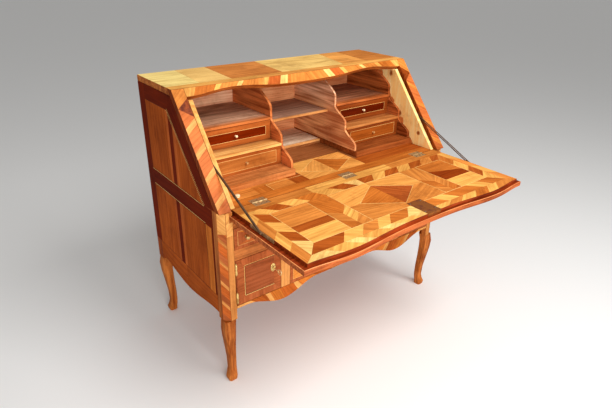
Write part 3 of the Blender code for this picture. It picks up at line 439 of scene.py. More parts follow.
# %% Tones
TONES = {
    "cream": (255, 222, 142), "pale": (255, 208, 126), "light": (246, 180, 94),
    "gold": (238, 164, 84), "mid": (220, 138, 66), "rust": (206, 118, 50),
    "dark": (180, 92, 38), "red": (192, 98, 46), "door": (152, 82, 50),
    "brick": (146, 62, 16), "band": (176, 96, 56), "deep": (110, 36, 7),
    "field": (172, 84, 32), "poplar": (190, 138, 86), "brown_poplar": (170, 116, 68),
    "straw": (228, 164, 94), "post": (208, 138, 76), "leaf": (226, 142, 72),
    "umber": (152, 92, 54), "stile": (204, 112, 60), "frame": (176, 96, 46),
    "tan": (190, 116, 58), "dim_frame": (138, 68, 30), "dim_tan": (149, 77, 30),
    "dim_deep": (92, 30, 8),
}
print(len(TONES), "tones of veneer")

# %% [markdown]
# ## Outlines
# A tile begins as a flat outline, a list of corners in two coordinates. Hundreds of tiles have to meet
# along the same lines, so they are not pushed about by hand: every line is a number that the tiles on
# both sides of it share.


# %% Outlines
def rect(u, v):
    """Outline of a rectangle."""
    return [(u[0], v[0]), (u[1], v[0]), (u[1], v[1]), (u[0], v[1])]


def within(u, v, width):
    """Ranges of a rectangle, drawn in by a width."""
    return (u[0] + width, u[1] - width), (v[0] + width, v[1] - width)


def area(shape):
    """Signed area, positive when the outline runs counter-clockwise."""
    ends = shape[1:] + shape[:1]
    return sum(a[0] * b[1] - b[0] * a[1] for a, b in zip(shape, ends)) / 2


print("a square metre measures", area(rect((0, 1), (0, 1))))

# %% [markdown]
# ## Cutting outlines
# The old maker trimmed tiles with a knife along a straightedge, and cut them out where hinges and locks
# go through. A boolean on the finished tile could do that, but cutting the flat outline is quicker and
# leaves clean faces.


# %% Cutting
def clip(shape, a, b, c):
    """Part of an outline where a u + b v stays below c."""
    kept = []
    for (u0, v0), (u1, v1) in zip(shape, shape[1:] + shape[:1]):
        first, second = a * u0 + b * v0 - c, a * u1 + b * v1 - c
        if first <= 0:
            kept.append((u0, v0))
        if first * second < 0:
            t = first / (first - second)
            kept.append((u0 + (u1 - u0) * t, v0 + (v1 - v0) * t))
    return kept


def around(shape, hole):
    """Parts of an outline that lie outside a rectangle."""
    (u0, u1), (v0, v1) = hole
    parts, rest = [], shape
    for a, b, c in ((1, 0, u0), (-1, 0, -u1), (0, 1, v0), (0, -1, -v1)):
        parts.append(clip(rest, a, b, c))
        rest = clip(rest, -a, -b, -c)
    if len(rest) < 3:
        return [shape]
    return [part for part in parts if len(part) > 2 and abs(area(part)) > 4e-6]


def clean(shape):
    """Outline without doubled points."""
    kept = []
    for point in shape:
        if not kept or (Vector(point) - Vector(kept[-1])).length > 1e-5:
            kept.append(point)
    if (Vector(kept[0]) - Vector(kept[-1])).length < 1e-5:
        kept.pop()
    return kept


square = rect((0, 1), (0, 1))
print("a square cut out in its middle leaves", len(around(square, ((0.4, 0.6), (0.4, 0.6)))), "parts")

# %% [markdown]
# ## Finer outlines
# Two more things happen to an outline before it becomes a tile. It is drawn in by a hair, so that the
# joint beside it shows. And where it must follow a curve, it first gets points along its straight edges.


# %% Finer outlines
def finely(shape, step=0.012):
    """Outline with extra points, so that it can follow a curve."""
    points = []
    for a, b in zip(shape, shape[1:] + shape[:1]):
        a, b = Vector(a), Vector(b)
        count = max(1, round((b - a).length / step))
        points += [tuple(a.lerp(b, i / count)) for i in range(count)]
    return points


def inset(shape, width):
    """Outline drawn in by a width."""
    points = []
    count = len(shape)
    for i in range(count):
        before, here, after = (Vector(shape[k % count]) for k in (i - 1, i, i + 1))
        one, two = (here - before).normalized(), (after - here).normalized()
        one, two = Vector((-one.y, one.x)), Vector((-two.y, two.x))
        points.append(tuple(here + (one + two) * width / max(1 + one.dot(two), 0.3)))
    return points


print("drawn in by a tenth, a square metre measures", round(area(inset(square, 0.1)), 3))

# %% [markdown]
# ## Rows and borders
# Most of the pattern is made of slanted tiles set in rows, and of mitred borders. A tile is written as
# its outline, its tone and the angle of its grain. Patterns repeat left and right, so a tile is drawn
# once and mirrored.


# %% Pattern helpers
def row(first, second, low, high, tones, angle=0.0):
    """Slanted tiles between two lines of cuts."""
    tiles = []
    for i, tone in enumerate(tones.split()):
        shape = [(first[i], low), (first[i + 1], low), (second[i + 1], high), (second[i], high)]
        tiles.append((shape, tone, angle))
    return tiles


def border(u, v, width):
    """Four mitred strips round a rectangle, with the grain across each strip."""
    outer, inner = rect(u, v), rect(*within(u, v, width))
    strips = []
    for i in range(4):
        j = (i + 1) % 4
        strips.append(([outer[i], outer[j], inner[j], inner[i]], pi / 2 if i % 2 == 0 else 0.0))
    return strips


def mirrored(tiles, side):
    """Tiles of the right side, or turned over for the left one."""
    return [([(side * u, v) for u, v in shape], tone, angle * side) for shape, tone, angle in tiles]


print("a border has", len(border((0, 1), (0, 1), 0.1)), "strips")

# %% [markdown]
# ## One material for all veneers
# A material for every tone and every direction of the grain would make a long list. Instead each tile
# carries both itself: a face colour called tone holds its wood, and a UV map called grain runs along
# its fibres. One material reads them, so the whole pattern shares it.

# %% Veneer material
veneer = bpy.data.materials.new("veneer")
veneer.use_nodes = True
tree = veneer.node_tree
fibres = node(tree, "ShaderNodeUVMap", uv_map="grain").outputs[0]
tone = node(tree, "ShaderNodeAttribute", attribute_name="tone").outputs["Color"]
bright = blend(tree, 1.0, tone, (1.12, 1.10, 1.06, 1), "MULTIPLY")
dim = blend(tree, 1.0, tone, (0.68, 0.57, 0.46, 1), "MULTIPLY")
where = node(tree, "ShaderNodeTexCoord").outputs["Object"]
finish(veneer, figured(tree, fibres, bright, dim, 0.45), where, height=0.0002, polish=0.08)
print("veneer has", len(tree.nodes), "nodes")

# %% [markdown]
# ## Surfaces and pieces
# Things are drawn flat and then laid on a surface of the desk, which is a matrix of two directions and
# the normal that looks out. An object could be turned and moved there, but the place is put into the
# mesh: the piece then stays at the origin, its grain keeps still, and it rides on its body.


# %% Surfaces and pieces
def plane(origin, across, up):
    """Frame of a flat surface: two directions in it, and the normal that looks out."""
    u, v = Vector(across).normalized(), Vector(up).normalized()
    turned = Matrix((u, v, u.cross(v))).transposed().to_4x4()
    turned.translation = origin
    return turned


def add_piece(name, body, mesh, surface=None):
    """Object from a mesh drawn on a surface, fixed to a body."""
    if surface:
        mesh.transform(surface)
    mesh.name = name
    made = bpy.data.objects.new(name, mesh)
    bpy.context.scene.collection.objects.link(made)
    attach(made, body)
    return made


print("a front looks along", [round(c) for c in plane((0, 0, 0), (1, 0, 0), (0, 0, 1)).col[2][:3]])

# %% [markdown]
# ## Laying a sheet
# Each leaf becomes a real thin tile with its top edges eased, because a joint that is only drawn stays
# flat in a raking light. The sheet is made flat, as the old maker taped it together on the bench, and
# then laid on its surface. Tiles differ a little in tint, as leaves of one tree do.

# %% Sheets
JOINT, EASE, ROOT = 0.00022, 0.00012, -0.0002


def sheet(name, body, surface, tiles, holes=(), warp=None, lift=0.0004):
    """Veneer tiles on a surface. A tile is an outline, a tone and the angle of its grain."""
    points, flat, faces, looks = [], [], [], []
    for shape, tone, angle in tiles:
        parts = [clean(shape)]
        for hole in holes:
            parts = [part for old in parts for part in around(old, hole)]
        tint = chance.uniform(0.91, 1.07)
        base = [min(1.0, c * tint) for c in shade(*TONES[tone])[:3]]
        shift = (chance.uniform(0, 30), chance.uniform(0, 30))
        top_look, edge_look = (base, angle, shift), ([c * 0.45 for c in base], angle, shift)
        for part in parts:
            part = part if area(part) > 0 else part[::-1]
            part = finely(part) if warp else part
            n, start = len(part), len(points)
            for ring, height in ((part, ROOT), (part, lift - EASE), (inset(part, JOINT), lift)):
                flat += ring
                points += [(*(warp(u, v) if warp else (u, v)), height) for u, v in ring]
            faces.append([start + i for i in reversed(range(n))])
            faces.append([start + 2 * n + i for i in range(n)])
            looks += [top_look] * 2
            for i in range(n):
                j = (i + 1) % n
                for low in (start, start + n):
                    faces.append([low + i, low + j, low + n + j, low + n + i])
                    looks.append(edge_look)
    mesh = bpy.data.meshes.new(name)
    mesh.from_pydata(points, [], faces)
    grain, tones = [], []
    for face, (base, angle, shift) in zip(mesh.polygons, looks):
        for corner in face.vertices:
            u, v = flat[corner]
            grain.append(u * cos(angle) + v * sin(angle) + shift[0])
            grain.append(v * cos(angle) - u * sin(angle) + shift[1])
            tones += [*base, 1.0]
    mesh.uv_layers.new(name="grain").data.foreach_set("uv", grain)
    mesh.color_attributes.new("tone", "FLOAT_COLOR", "CORNER").data.foreach_set("color", tones)
    mesh.materials.append(veneer)
    print(name, len(tiles), "tiles")
    return add_piece(name, body, mesh, surface)


print("a sheet's joints are", 2 * JOINT * 1000, "mm wide at the top")

# %% [markdown]
# ## Trees that grow things
# Strings follow lines, and beads, nails and screws are many copies of one small shape. Each could be
# modelled and copied by hand. A geometry tree makes them from a bare mesh of points or edges, so one
# value changes them all. It ends by turning copies into real geometry and giving them a material, and
# the result is kept as a plain mesh.


# %% Tree helpers
def geometry_tree(name, **values):
    """Tree from mesh to mesh; every value is an input of its own, and so is the material."""
    shape = "NodeSocketGeometry"
    inputs = [("Geometry", shape, None)]
    for label, value in values.items():
        inputs.append((label, "NodeSocketInt" if isinstance(value, int) else number, value))
    inputs.append(("Material", "NodeSocketMaterial", None))
    return group(name, inputs, [("Geometry", shape)], "GeometryNodeTree")


def close_tree(tree, shape, given, made):
    """End of a tree: copies become real geometry in one material."""
    real = node(tree, "GeometryNodeRealizeInstances", {0: shape})
    wires = {"Geometry": real.outputs[0], "Material": given["Material"]}
    tree.links.new(node(tree, "GeometryNodeSetMaterial", wires).outputs[0], made["Geometry"])
    print(tree.name, "tree has", len(tree.nodes), "nodes")


def grown(tree, points, edges, material, **values):
    """Plain mesh that a tree makes from points and edges."""
    mesh = bpy.data.meshes.new("work")
    mesh.from_pydata(points, edges, [])
    work = bpy.data.objects.new("work", mesh)
    bpy.context.scene.collection.objects.link(work)
    modifier = work.modifiers.new("work", "NODES")
    modifier.node_group = tree
    values["Material"] = material
    for item in tree.interface.items_tree:
        if item.item_type == "SOCKET" and item.in_out == "INPUT" and item.name in values:
            modifier[item.identifier] = values[item.name]
    bpy.context.view_layer.update()
    seen = work.evaluated_get(bpy.context.evaluated_depsgraph_get())
    result = bpy.data.meshes.new_from_object(seen)
    bpy.data.objects.remove(work)
    return result


print(len(bpy.data.node_groups), "node groups so far")

# %% [markdown]
# ## Strings
# A string is a square strip of pale wood, let into a groove along the edge of a panel. The tree turns
# the mesh's edges into a curve and sweeps a small rectangle along it. Straight strips could be boxes,
# but a swept strip can follow the curved edges too.

# %% String tree
STRING = 0.0016
strings, given, made = geometry_tree("strings", Width=STRING, Height=0.0012)
line = node(strings, "GeometryNodeMeshToCurve", {0: given["Geometry"]})
level = node(strings, "GeometryNodeSetCurveNormal", {"Curve": line.outputs[0]}, mode="Z_UP")
wires = {"Width": given["Width"], "Height": given["Height"]}
profile = node(strings, "GeometryNodeCurvePrimitiveQuadrilateral", wires)
wires = {"Curve": level.outputs[0], "Profile Curve": profile.outputs[0], "Fill Caps": True}
close_tree(strings, node(strings, "GeometryNodeCurveToMesh", wires).outputs[0], given, made)
pale_string = board("pale_string", (255, 218, 138), (228, 170, 92), strength=0.2)
dark_string = board("dark_string", (74, 36, 20), (44, 20, 10), strength=0.2)
dim_string = board("dim_string", (248, 198, 120), (216, 154, 86), strength=0.2)


def lines(name, body, surface, paths, wood=pale_string, width=STRING, lift=0.00055, tall=0.0012):
    """String inlay along paths on a surface."""
    points, edges = [], []
    for path in paths:
        edges += [(len(points) + i, len(points) + i + 1) for i in range(len(path) - 1)]
        points += [(u, v, lift - tall / 2) for u, v in path]
    mesh = grown(strings, points, edges, wood, Width=width, Height=tall)
    return add_piece(name, body, mesh, surface)


def loop(shape):
    """Paths round an outline, each a little long so that the corners close."""
    paths = []
    for a, b in zip(shape, shape[1:] + shape[:1]):
        a, b = Vector(a), Vector(b)
        end = (b - a).normalized() * STRING / 2
        paths.append((tuple(a - end), tuple(b + end)))
    return paths


# %% [markdown]
# ## The shape of the fall
# The open fall is the show piece. Its free edge swells twice, and the outermost row of veneers
# follows it: the tiles are drawn straight, and then bent forward by the same curve as the edge.
# All places on it are measured from the line of the hinges forward and from the middle outward.

# %% Fall shape
AXIS = FRONT + 0.01554
LID = plane((0, AXIS, FALL_TOP), (1, 0, 0), (0, 1, 0))
HALF_EDGE, HALF_LID, WIDE = 0.5158, 0.533, 0.5150
SWELL, FLARE = 0.017, 0.005
HINGE_STRIP, PANEL_NEAR, PANEL_FAR, FRONT_ROW, RIM = 0.0507, 0.0986, 0.3307, 0.3807, 0.4043
CENTRE, WING, INNER, OUTER = 0.185, 0.279, 0.431, 0.478


def bow(x):
    """How far the free edge of the fall swells past its middle."""
    share = min(abs(x) / HALF_EDGE, 1.0)
    return SWELL * sin(pi * share**1.6) ** 2 + FLARE * share**2


def swell(u, v):
    """Bends the front row to the free edge."""
    return u, v - bow(u) * min(max((-v - FRONT_ROW) / 0.0236, 0.0), 1.0)


def ahead(tiles):
    """Tiles measured forward from the hinge, laid on the open fall."""
    return [([(x, -d) for x, d in shape], tone, angle) for shape, tone, angle in tiles]


def sideways(tiles, side, angle):
    """Tiles of a row, turned to run forward along one side."""
    return [([(side * x, d) for d, x in shape], tone, angle) for shape, tone, _ in tiles]


most = max(bow(HALF_EDGE * i / 400) for i in range(401))
print("the free edge swells by", round(1000 * most, 1), "mm")

# %% [markdown]
# ## The border of the fall
# A plain strip runs along the hinges. Inside it a border of slanted tiles, light and dark in turn, goes
# round three panels. Every tile of the old work has its own width, so the cuts are listed one by one.

# %% Fall border
cuts = [-WIDE, -0.21, 0.20, WIDE]
tiles = row(cuts, cuts, 0.0014, HINGE_STRIP, "mid light mid")
back = [-OUTER, -0.435, -0.367, -0.297, -0.210, -0.146, -0.067, 0]
back += [0.083, 0.154, 0.222, 0.293, 0.365, 0.426, OUTER]
fore = [-INNER, -0.388, -0.331, -0.260, -0.181, -0.096, -0.028, 0]
fore += [0.047, 0.108, 0.186, 0.254, 0.318, 0.390, INNER]
tones = "light dark light rust light dark pale dark light dark light dark mid dark"
tiles += row(back, fore, HINGE_STRIP, PANEL_NEAR, tones, 0.6)
outer = [HINGE_STRIP, 0.070, 0.138, 0.213, 0.281, FRONT_ROW]
inner = [PANEL_NEAR, 0.1057, 0.1736, 0.2486, 0.3164, PANEL_FAR]
rim_outer = [HINGE_STRIP, 0.15, 0.25, 0.33, RIM]
rim_inner = [HINGE_STRIP, 0.11, 0.21, 0.29, FRONT_ROW]
for side, tones in ((-1, "light dark light dark pale"), (1, "mid rust light dark light")):
    tiles += sideways(row(outer, inner, OUTER, INNER, tones), side, 0.8 * side)
    tiles += sideways(row(rim_outer, rim_inner, WIDE, OUTER, "light mid light mid"), side, pi / 2)
back = [-INNER, -0.310, -0.228, -0.167, -0.110, -0.024, 0, 0.050, 0.100, 0.162, 0.290, 0.362, INNER]
fore = [-OUTER, -0.356, -0.278, -0.210, -0.156, -0.074, 0, 0.073, 0.137, 0.197, 0.340, 0.398, OUTER]
tones = "dark light mid light rust pale mid rust light rust light rust"
tiles += row(back, fore, PANEL_FAR, FRONT_ROW, tones, -0.7)
back = [-OUTER, -0.435, -0.353, -0.303, -0.213, -0.153, -0.060]
back += [0.080, 0.150, 0.215, 0.290, 0.360, 0.420, OUTER]
fore = [-WIDE, -0.385, -0.303, -0.253, -0.165, -0.105, -0.030]
fore += [0.050, 0.105, 0.170, 0.245, 0.315, 0.375, WIDE]
tones = "pale light pale light pale light pale light mid light rust light mid"
tiles += row(back, fore, FRONT_ROW, RIM, tones, 0.5)
print(len(tiles), "tiles in the border")

# %% [markdown]
# ## The panels of the fall
# The two wings are laid in three broad bands, with a column of pointed tiles between each wing and the
# middle. The middle panel holds a lozenge, split down its centre into a light and a dark half. The
# sheet is cut out round the hinge leaves and the lock.

# %% Fall panels
for side, upper, middle, point, flank, cut in (
    (-1, "mid", "dark", "rust", "light", 0.2164),
    (1, "rust", "brick", "mid", "rust", 0.165),
):
    a, b, m = WING, CENTRE, 0.232
    panel = [
        ([(WING, PANEL_NEAR), (INNER, PANEL_NEAR), (INNER, 0.2164), (WING, cut)], upper, 0.0),
        ([(WING, cut), (INNER, 0.2164), (INNER, 0.2557), (WING, 0.2557)], middle, 0.0),
        (rect((WING, INNER), (0.2557, PANEL_FAR)), "light", 0.0),
        ([(a, PANEL_NEAR), (b, PANEL_NEAR), (b, 0.1914), (m, 0.238), (a, 0.1986)], point, 1.2),
        ([(a, 0.1986), (m, 0.238), (m, 0.3057), (a, 0.270)], "mid", 0.6),
        ([(a, 0.270), (m, 0.3057), (m, PANEL_FAR), (a, PANEL_FAR)], "rust", 0.6),
        ([(b, 0.1914), (b, 0.263), (m, 0.3057), (m, 0.238)], flank, -0.6),
        ([(b, 0.263), (b, PANEL_FAR), (m, PANEL_FAR), (m, 0.3057)], "mid", -0.6),
    ]
    tiles += mirrored(panel, side)


def lozenge(tips, right, half, ends, looks):
    """Six tiles, the halves of a lozenge and the four leaves round it, and the lozenge's outline."""
    (near, far), middle = ends, right[1]
    top, low, left = (0, tips[0]), (0, tips[1]), (-right[0], middle)
    shapes = [
        [top, left, low],
        [top, low, right],
        [(-half, near), (0, near), top, left, (-half, middle)],
        [(0, near), (half, near), (half, middle), right, top],
        [(-half, middle), left, low, (0, far), (-half, far)],
        [(half, middle), (half, far), (0, far), low, right],
    ]
    tiles = [(shape, tone, angle) for shape, (tone, angle) in zip(shapes, looks)]
    return tiles, [top, right, low, left]


looks = [("rust", 0.3), ("red", -0.9), ("gold", 0.2), ("gold", -0.3), ("mid", -0.2), ("mid", 0.4)]
ends = (PANEL_NEAR, PANEL_FAR)
middle_tiles, outline = lozenge((0.127, 0.3043), (0.135, 0.2165), CENTRE, ends, looks)
HINGES = (-0.4058, 0.0, 0.4058)
LEAF_HALF, LEAF_DEEP, FIT = 0.0306, 0.0264, 0.0005
holes = [((x - LEAF_HALF, x + LEAF_HALF), (-LEAF_DEEP, 0.01)) for x in HINGES]
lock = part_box("fall_lock")
holes.append(((lock[0].x - FIT, lock[1].x + FIT), (-0.45, lock[1].y - AXIS + FIT)))
sheet("fall_veneer", "fall", LID, ahead(tiles + middle_tiles), holes, swell)

# %% [markdown]
# ## Strings and lip of the fall
# Pale strings mark the panels and the lozenge, and one long string in front stops at the lock. Along the
# corner of the lip that closes against the frame runs a painted highlight: one more swept strip of pale
# wood, which follows the swells.

# %% Fall strings
paths = []
for x in ((-CENTRE, CENTRE), (-INNER, -WING), (WING, INNER)):
    paths += loop(rect(x, (-PANEL_FAR, -PANEL_NEAR)))[1:]
paths += loop([(u, -d) for u, d in outline])
for ends in ((-INNER, lock[0].x - 0.002), (lock[1].x + 0.002, INNER)):
    paths.append([(x, -PANEL_FAR) for x in ends])
lines("fall_strings", "fall", LID, paths)
LIP = 0.0016
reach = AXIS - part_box("fall_panel")[0].y - most - LIP
lip_side = HALF_LID - LIP
front = [(lip_side * i / 40, -reach - bow(HALF_EDGE * i / 40)) for i in range(-40, 41)]
# painted highlight along the corner of the lip
lip_highlight = board("lip_highlight", (232, 150, 92), (184, 100, 54))
round_lip = [[(-lip_side, -0.004), *front, (lip_side, -0.004)]]
lines("fall_lip_edge", "fall", LID, round_lip, lip_highlight, width=0.0026, lift=-0.0123, tall=0.0026)
print(len(paths), "strings and a lip of", len(front), "points on the fall")

# %% [markdown]
# ## The bed behind the fall
# Behind the hinges the writing surface goes on as a fixed bed. A dark strip meets the fall, a second
# lozenge panel fills the middle, and the wings are plain with two dark blocks on the left. Further back
# the floor is brown up to the low platform, and the front of the platform is brown too.

# %% Bed
BED = plane((0, AXIS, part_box("writing_bed")[1].z), (1, 0, 0), (0, 1, 0))
BED_WIDE, BED_NEAR, BED_FAR, BED_CENTRE = 0.499, 0.050, 0.222, 0.145
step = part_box("centre_step")
wing = (BED_NEAR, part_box("interior_plinth")[0].y - AXIS - FIT)
cut = wing[1] - 0.016
tiles = [
    (rect((-BED_WIDE, BED_WIDE), (0.0014, BED_NEAR)), "rust", 0.0),
    (rect((-BED_WIDE, -0.37), wing), "mid", 0.0),
    (rect((-0.37, -0.31), (BED_NEAR, cut)), "rust", 1.57),
    (rect((-0.37, -0.31), (cut, wing[1])), "mid", 0.0),
    (rect((-0.31, -0.21), wing), "mid", 0.0),
    (rect((-0.21, -BED_CENTRE), wing), "dark", 1.57),
    (rect((BED_CENTRE, BED_WIDE), wing), "dark", 0.0),
]
looks = [("gold", 0.9), ("rust", -0.7), ("gold", 0.3), ("gold", -0.3), ("light", -0.4), ("gold", 0.4)]
ends = (BED_NEAR, BED_FAR)
middle_tiles, outline = lozenge((0.056, 0.216), (0.126, 0.131), BED_CENTRE, ends, looks)
tiles += middle_tiles
floor_end, floor_side = step[0].y - AXIS - FIT, step[1].x
tiles.append((rect((-floor_side, floor_side), (BED_FAR, floor_end)), "umber", 0.0))
for side in (-1, 1):
    beside = sorted((side * BED_CENTRE, side * floor_side))
    tiles.append((rect(beside, (wing[1], BED_FAR)), "umber", 1.57))
holes = [((x - LEAF_HALF, x + LEAF_HALF), (-0.01, LEAF_DEEP)) for x in HINGES]
sheet("bed_veneer", "case", BED, tiles, holes)
paths = loop(outline)
paths += [((-0.31, BED_NEAR), (-0.31, cut)), ((-0.31, cut), (-BED_CENTRE, cut))]
lines("bed_strings", "case", BED, paths)
RISER = plane((0, step[0].y, 0), (1, 0, 0), (0, 0, 1))
riser = rect((step[0].x + 0.001, step[1].x - 0.001), (step[0].z + 0.001, step[1].z - 0.009))
sheet("step_riser_veneer", "case", RISER, [(riser, "umber", 0.25)], lift=0.0003)

# %% [markdown]
# ## The sloping stiles
# Two stiles and a shaped rail frame the opening that the fall closes. The stiles carry reddish blocks
# with narrow lighter bars between them, all cut at a slant, and a mitred block at each upper corner.
# The blocks climb in one loop from below the bed to above the corner, and what is too much is cut off.

# %% Stiles
SLOPE = radians(50.53)
BED_LEVEL, PROUD = 0.729, 0.0114
slant_origin = (0, AXIS - PROUD * sin(SLOPE), BED_LEVEL + PROUD * cos(SLOPE))
SLANT = plane(slant_origin, (1, 0, 0), (0, cos(SLOPE), sin(SLOPE)))
STILE_OUT, STILE_IN = 0.5693, 0.5247
HEAD, CORNER, MITRE, FOOT = 0.4446, 0.373, 0.78, -0.0078


def ladder(u, start, end, rise, blocks, limits, angle):
    """Slanted blocks, one above the other, cut off at some limits."""
    tiles = []
    while start < end:
        for length, tone in blocks:
            far = start + rise
            shape = [(u[0], start), (u[1], far), (u[1], far + length), (u[0], start + length)]
            for limit in limits:
                shape = clip(shape, *limit)
            if len(shape) > 2 and abs(area(shape)) > 1e-5:
                tiles.append((shape, tone, angle))
            start += length
    return tiles


limits = ((0, -1, -FOOT), (-MITRE, 1, CORNER - MITRE * STILE_OUT))
corner = [(STILE_OUT, CORNER), (STILE_IN, 0.4078), (STILE_IN, HEAD), (STILE_OUT, HEAD)]
tiles = []
for side, bar in ((-1, "straw"), (1, "mid")):
    blocks = ((0.066, "stile"), (0.024, bar))
    half = ladder((STILE_OUT, STILE_IN), -0.06, HEAD, 0.035, blocks, limits, -0.5)
    tiles += mirrored(half + [(corner, "mid", -0.7)], side)
sheet("stile_veneer", "case", SLANT, tiles, lift=0.0003)

# %% [markdown]
# ## The shaped rail
# The rail's lower edge mirrors the fall's free edge. Its row of slanted tiles begins at both ends and
# meets in the middle. It is drawn as a straight band, and then bent by the same curve as the fall.

# %% Rail
RAIL, RAIL_LOW = 0.036, 0.4083


def halves(cuts, lean, low, high, tones, angle):
    """Row of slanted tiles from both ends to the middle."""
    tiles = []
    for side in (-1, 1):
        first = [side * c for c in cuts]
        second = [first[0]] + [c - side * lean for c in first[1:-1]] + [first[-1]]
        tiles += row(first, second, low, high, tones, angle * side)
    return tiles


def hollow(u, v):
    """Bends the rail's tiles to its lower edge."""
    edge = RAIL_LOW + bow(u)
    return u, edge + (HEAD - edge) * v / RAIL


cuts = [0.5240, 0.497, 0.417, 0.394, 0.324, 0.304, 0.216, 0.193, 0.139, 0.105, 0.0]
tones = "light rust light mid pale mid light red pale mid"
tiles = halves(cuts, 0.018, 0.0, RAIL, tones, -1.2)
sheet("rail_veneer", "case", SLANT, tiles, warp=hollow, lift=0.0003)

# %% [markdown]
# ## The top
# The top is laid with six leaves, light and brown in turn, and a narrow light band in front. The leaves
# were trimmed by eye, and their joints run a little askew, so each row is given its cuts at both ends.

# %% Top
TOP = plane((0, FRONT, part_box("top_board")[1].z), (1, 0, 0), (0, 1, 0))
END = 0.5685
first = [-END, -0.44, -0.31, -0.08, 0.24, 0.38, END]
second = [-END, -0.42, -0.29, -0.05, 0.31, 0.42, END]
tiles = row(first, second, 0.335, 0.5905, "cream pale leaf pale gold mid")
cuts = [-END, -0.20, 0.20, END]
tiles += row(cuts, cuts, 0.2912, 0.335, "light gold light")
sheet("top_veneer", "case", TOP, tiles)

# %% [markdown]
# ## The pattern of the sides
# Each side looks like a frame with two panels, though it is one board: dark strips stand for the
# frame, and the panels are matched leaves with a narrow stripe in the middle. The upper panel ends at
# the slope. The lines are named once, as depths from the front and heights from the floor.

# %% Side pattern
SIDE_FORE, FORE_LINE, BACK_LINE, SIDE_BACK = 0.0512, 0.105, 0.537, 0.5912
LOWEST, SILL, BELT_LOW, BELT_TOP, BROW, CROWN = 0.311, 0.385, 0.655, 0.725, 1.0, 1.0570
SLOPE_LOW, SLOPE_HIGH = (0.107, BELT_TOP), (0.345, BROW)
SLOPE_FOOT, EDGE_STRIP = 0.0335, 0.062


def front_edge(z):
    """Place on the sloping front edge of a side."""
    return SLOPE_FOOT + (z - BED_LEVEL) / STEEP, z


crest = front_edge(CROWN)
frame_tiles = [
    (rect((BACK_LINE, SIDE_BACK), (SILL, CROWN)), "deep", pi / 2),
    ([(BACK_LINE, BROW), SLOPE_HIGH, crest, (BACK_LINE, CROWN)], "deep", 0.0),
    ([SLOPE_LOW, front_edge(0.7305), crest, SLOPE_HIGH], "deep", 0.86),
    (rect((SIDE_FORE, BACK_LINE), (BELT_LOW, BELT_TOP)), "deep", 0.0),
    (rect((SIDE_FORE, EDGE_STRIP), (SILL, BELT_LOW)), "deep", pi / 2),
    (rect((EDGE_STRIP, FORE_LINE), (SILL, BELT_LOW)), "rust", pi / 2),
]
upper_panel = [SLOPE_LOW, (BACK_LINE, BELT_TOP), (BACK_LINE, BROW), SLOPE_HIGH]
cuts = [BACK_LINE, 0.36, 0.34, 0.31, 0.285, FORE_LINE]
for back, fore, tone in zip(cuts, cuts[1:], "field red deep red field".split()):
    frame_tiles.append((clip(clip(upper_panel, 1, 0, back), -1, 0, -fore), tone, pi / 2))
    frame_tiles.append((rect((fore, back), (SILL, BELT_LOW)), tone, pi / 2))
cuts = [SIDE_FORE, 0.30, 0.545]
foot_tiles = row(cuts, cuts, LOWEST, SILL, "field field")
print(len(frame_tiles) + len(foot_tiles), "tiles for each side")

# %% [markdown]
# ## The sides
# The bottom edge of a side swings down in one lobe, and the lowest strip is bent to follow it. Strings
# mark the panels. Up the slope runs a chain of two rows of small beads: discs of pale wood, set by a
# tree at even steps along a line.

# %% Sides
SIDE_FACE, PALE_LOW, PALE_TOP = 0.570, 0.658, 0.722
LOBE_FORE, LOBE_BACK, LOBE, MARGIN = 0.0503, 0.546, 0.030, 0.0015
BEAD_STEP, BEAD, CHAIN = 0.0062, 0.0016, 0.0028
dots, given, made = geometry_tree("dots", Step=BEAD_STEP, Radius=BEAD)
line = node(dots, "GeometryNodeMeshToCurve", {0: given["Geometry"]})
wires = {"Curve": line.outputs[0], "Length": given["Step"]}
spaced = node(dots, "GeometryNodeResampleCurve", wires, mode="LENGTH")
wires = {"Vertices": 10, "Radius": given["Radius"], "Depth": 0.0012}
disc = node(dots, "GeometryNodeMeshCylinder", wires)
wires = {"Points": spaced.outputs[0], "Instance": disc.outputs[0]}
close_tree(dots, node(dots, "GeometryNodeInstanceOnPoints", wires).outputs[0], given, made)


def lobe(u, v):
    """Bends the lowest strip to the bottom edge of a side."""
    share = min(max((abs(u) - LOBE_FORE) / (LOBE_BACK - LOBE_FORE), 0.0), 1.0)
    low = LOWEST - LOBE * (0.5 - 0.5 * cos(2 * pi * share)) + MARGIN
    return u, SILL - (SILL - v) * (SILL - low) / (SILL - LOWEST)


pale_lines = [
    ((BACK_LINE, PALE_TOP), (SLOPE_LOW[0], PALE_TOP)),
    ((BACK_LINE, PALE_LOW), (FORE_LINE, PALE_LOW)),
]
dark_lines = [
    ((BACK_LINE, BROW), SLOPE_HIGH),
    ((FORE_LINE, PALE_LOW), (FORE_LINE, SILL)),
    ((FORE_LINE, SILL), (BACK_LINE, SILL)),
    ((BACK_LINE, SILL), (BACK_LINE, BELT_LOW)),
    ((BACK_LINE, BELT_TOP), (BACK_LINE, BROW)),
]
for hand, side in (("left", -1), ("right", 1)):
    face = plane((side * SIDE_FACE, FRONT, 0), (0, side, 0), (0, 0, 1))
    sheet(f"side_veneer_{hand}", "case", face, mirrored(frame_tiles, side))
    sheet(f"side_foot_veneer_{hand}", "case", face, mirrored(foot_tiles, side), warp=lobe)
    for name, wood, drawn in (("pale", pale_string, pale_lines), ("dark", dark_string, dark_lines)):
        paths = [[(side * y, z) for y, z in path] for path in drawn]
        lines(f"side_{name}_strings_{hand}", "case", face, paths, wood)
    points = []
    for away in (-CHAIN, CHAIN):
        points += [(side * (y + away), z - away, 0.0) for y, z in (SLOPE_LOW, SLOPE_HIGH)]
    mesh = grown(dots, points, [(0, 1), (2, 3)], pale_string, Step=BEAD_STEP, Radius=BEAD)
    add_piece(f"side_chain_{hand}", "case", mesh, face)

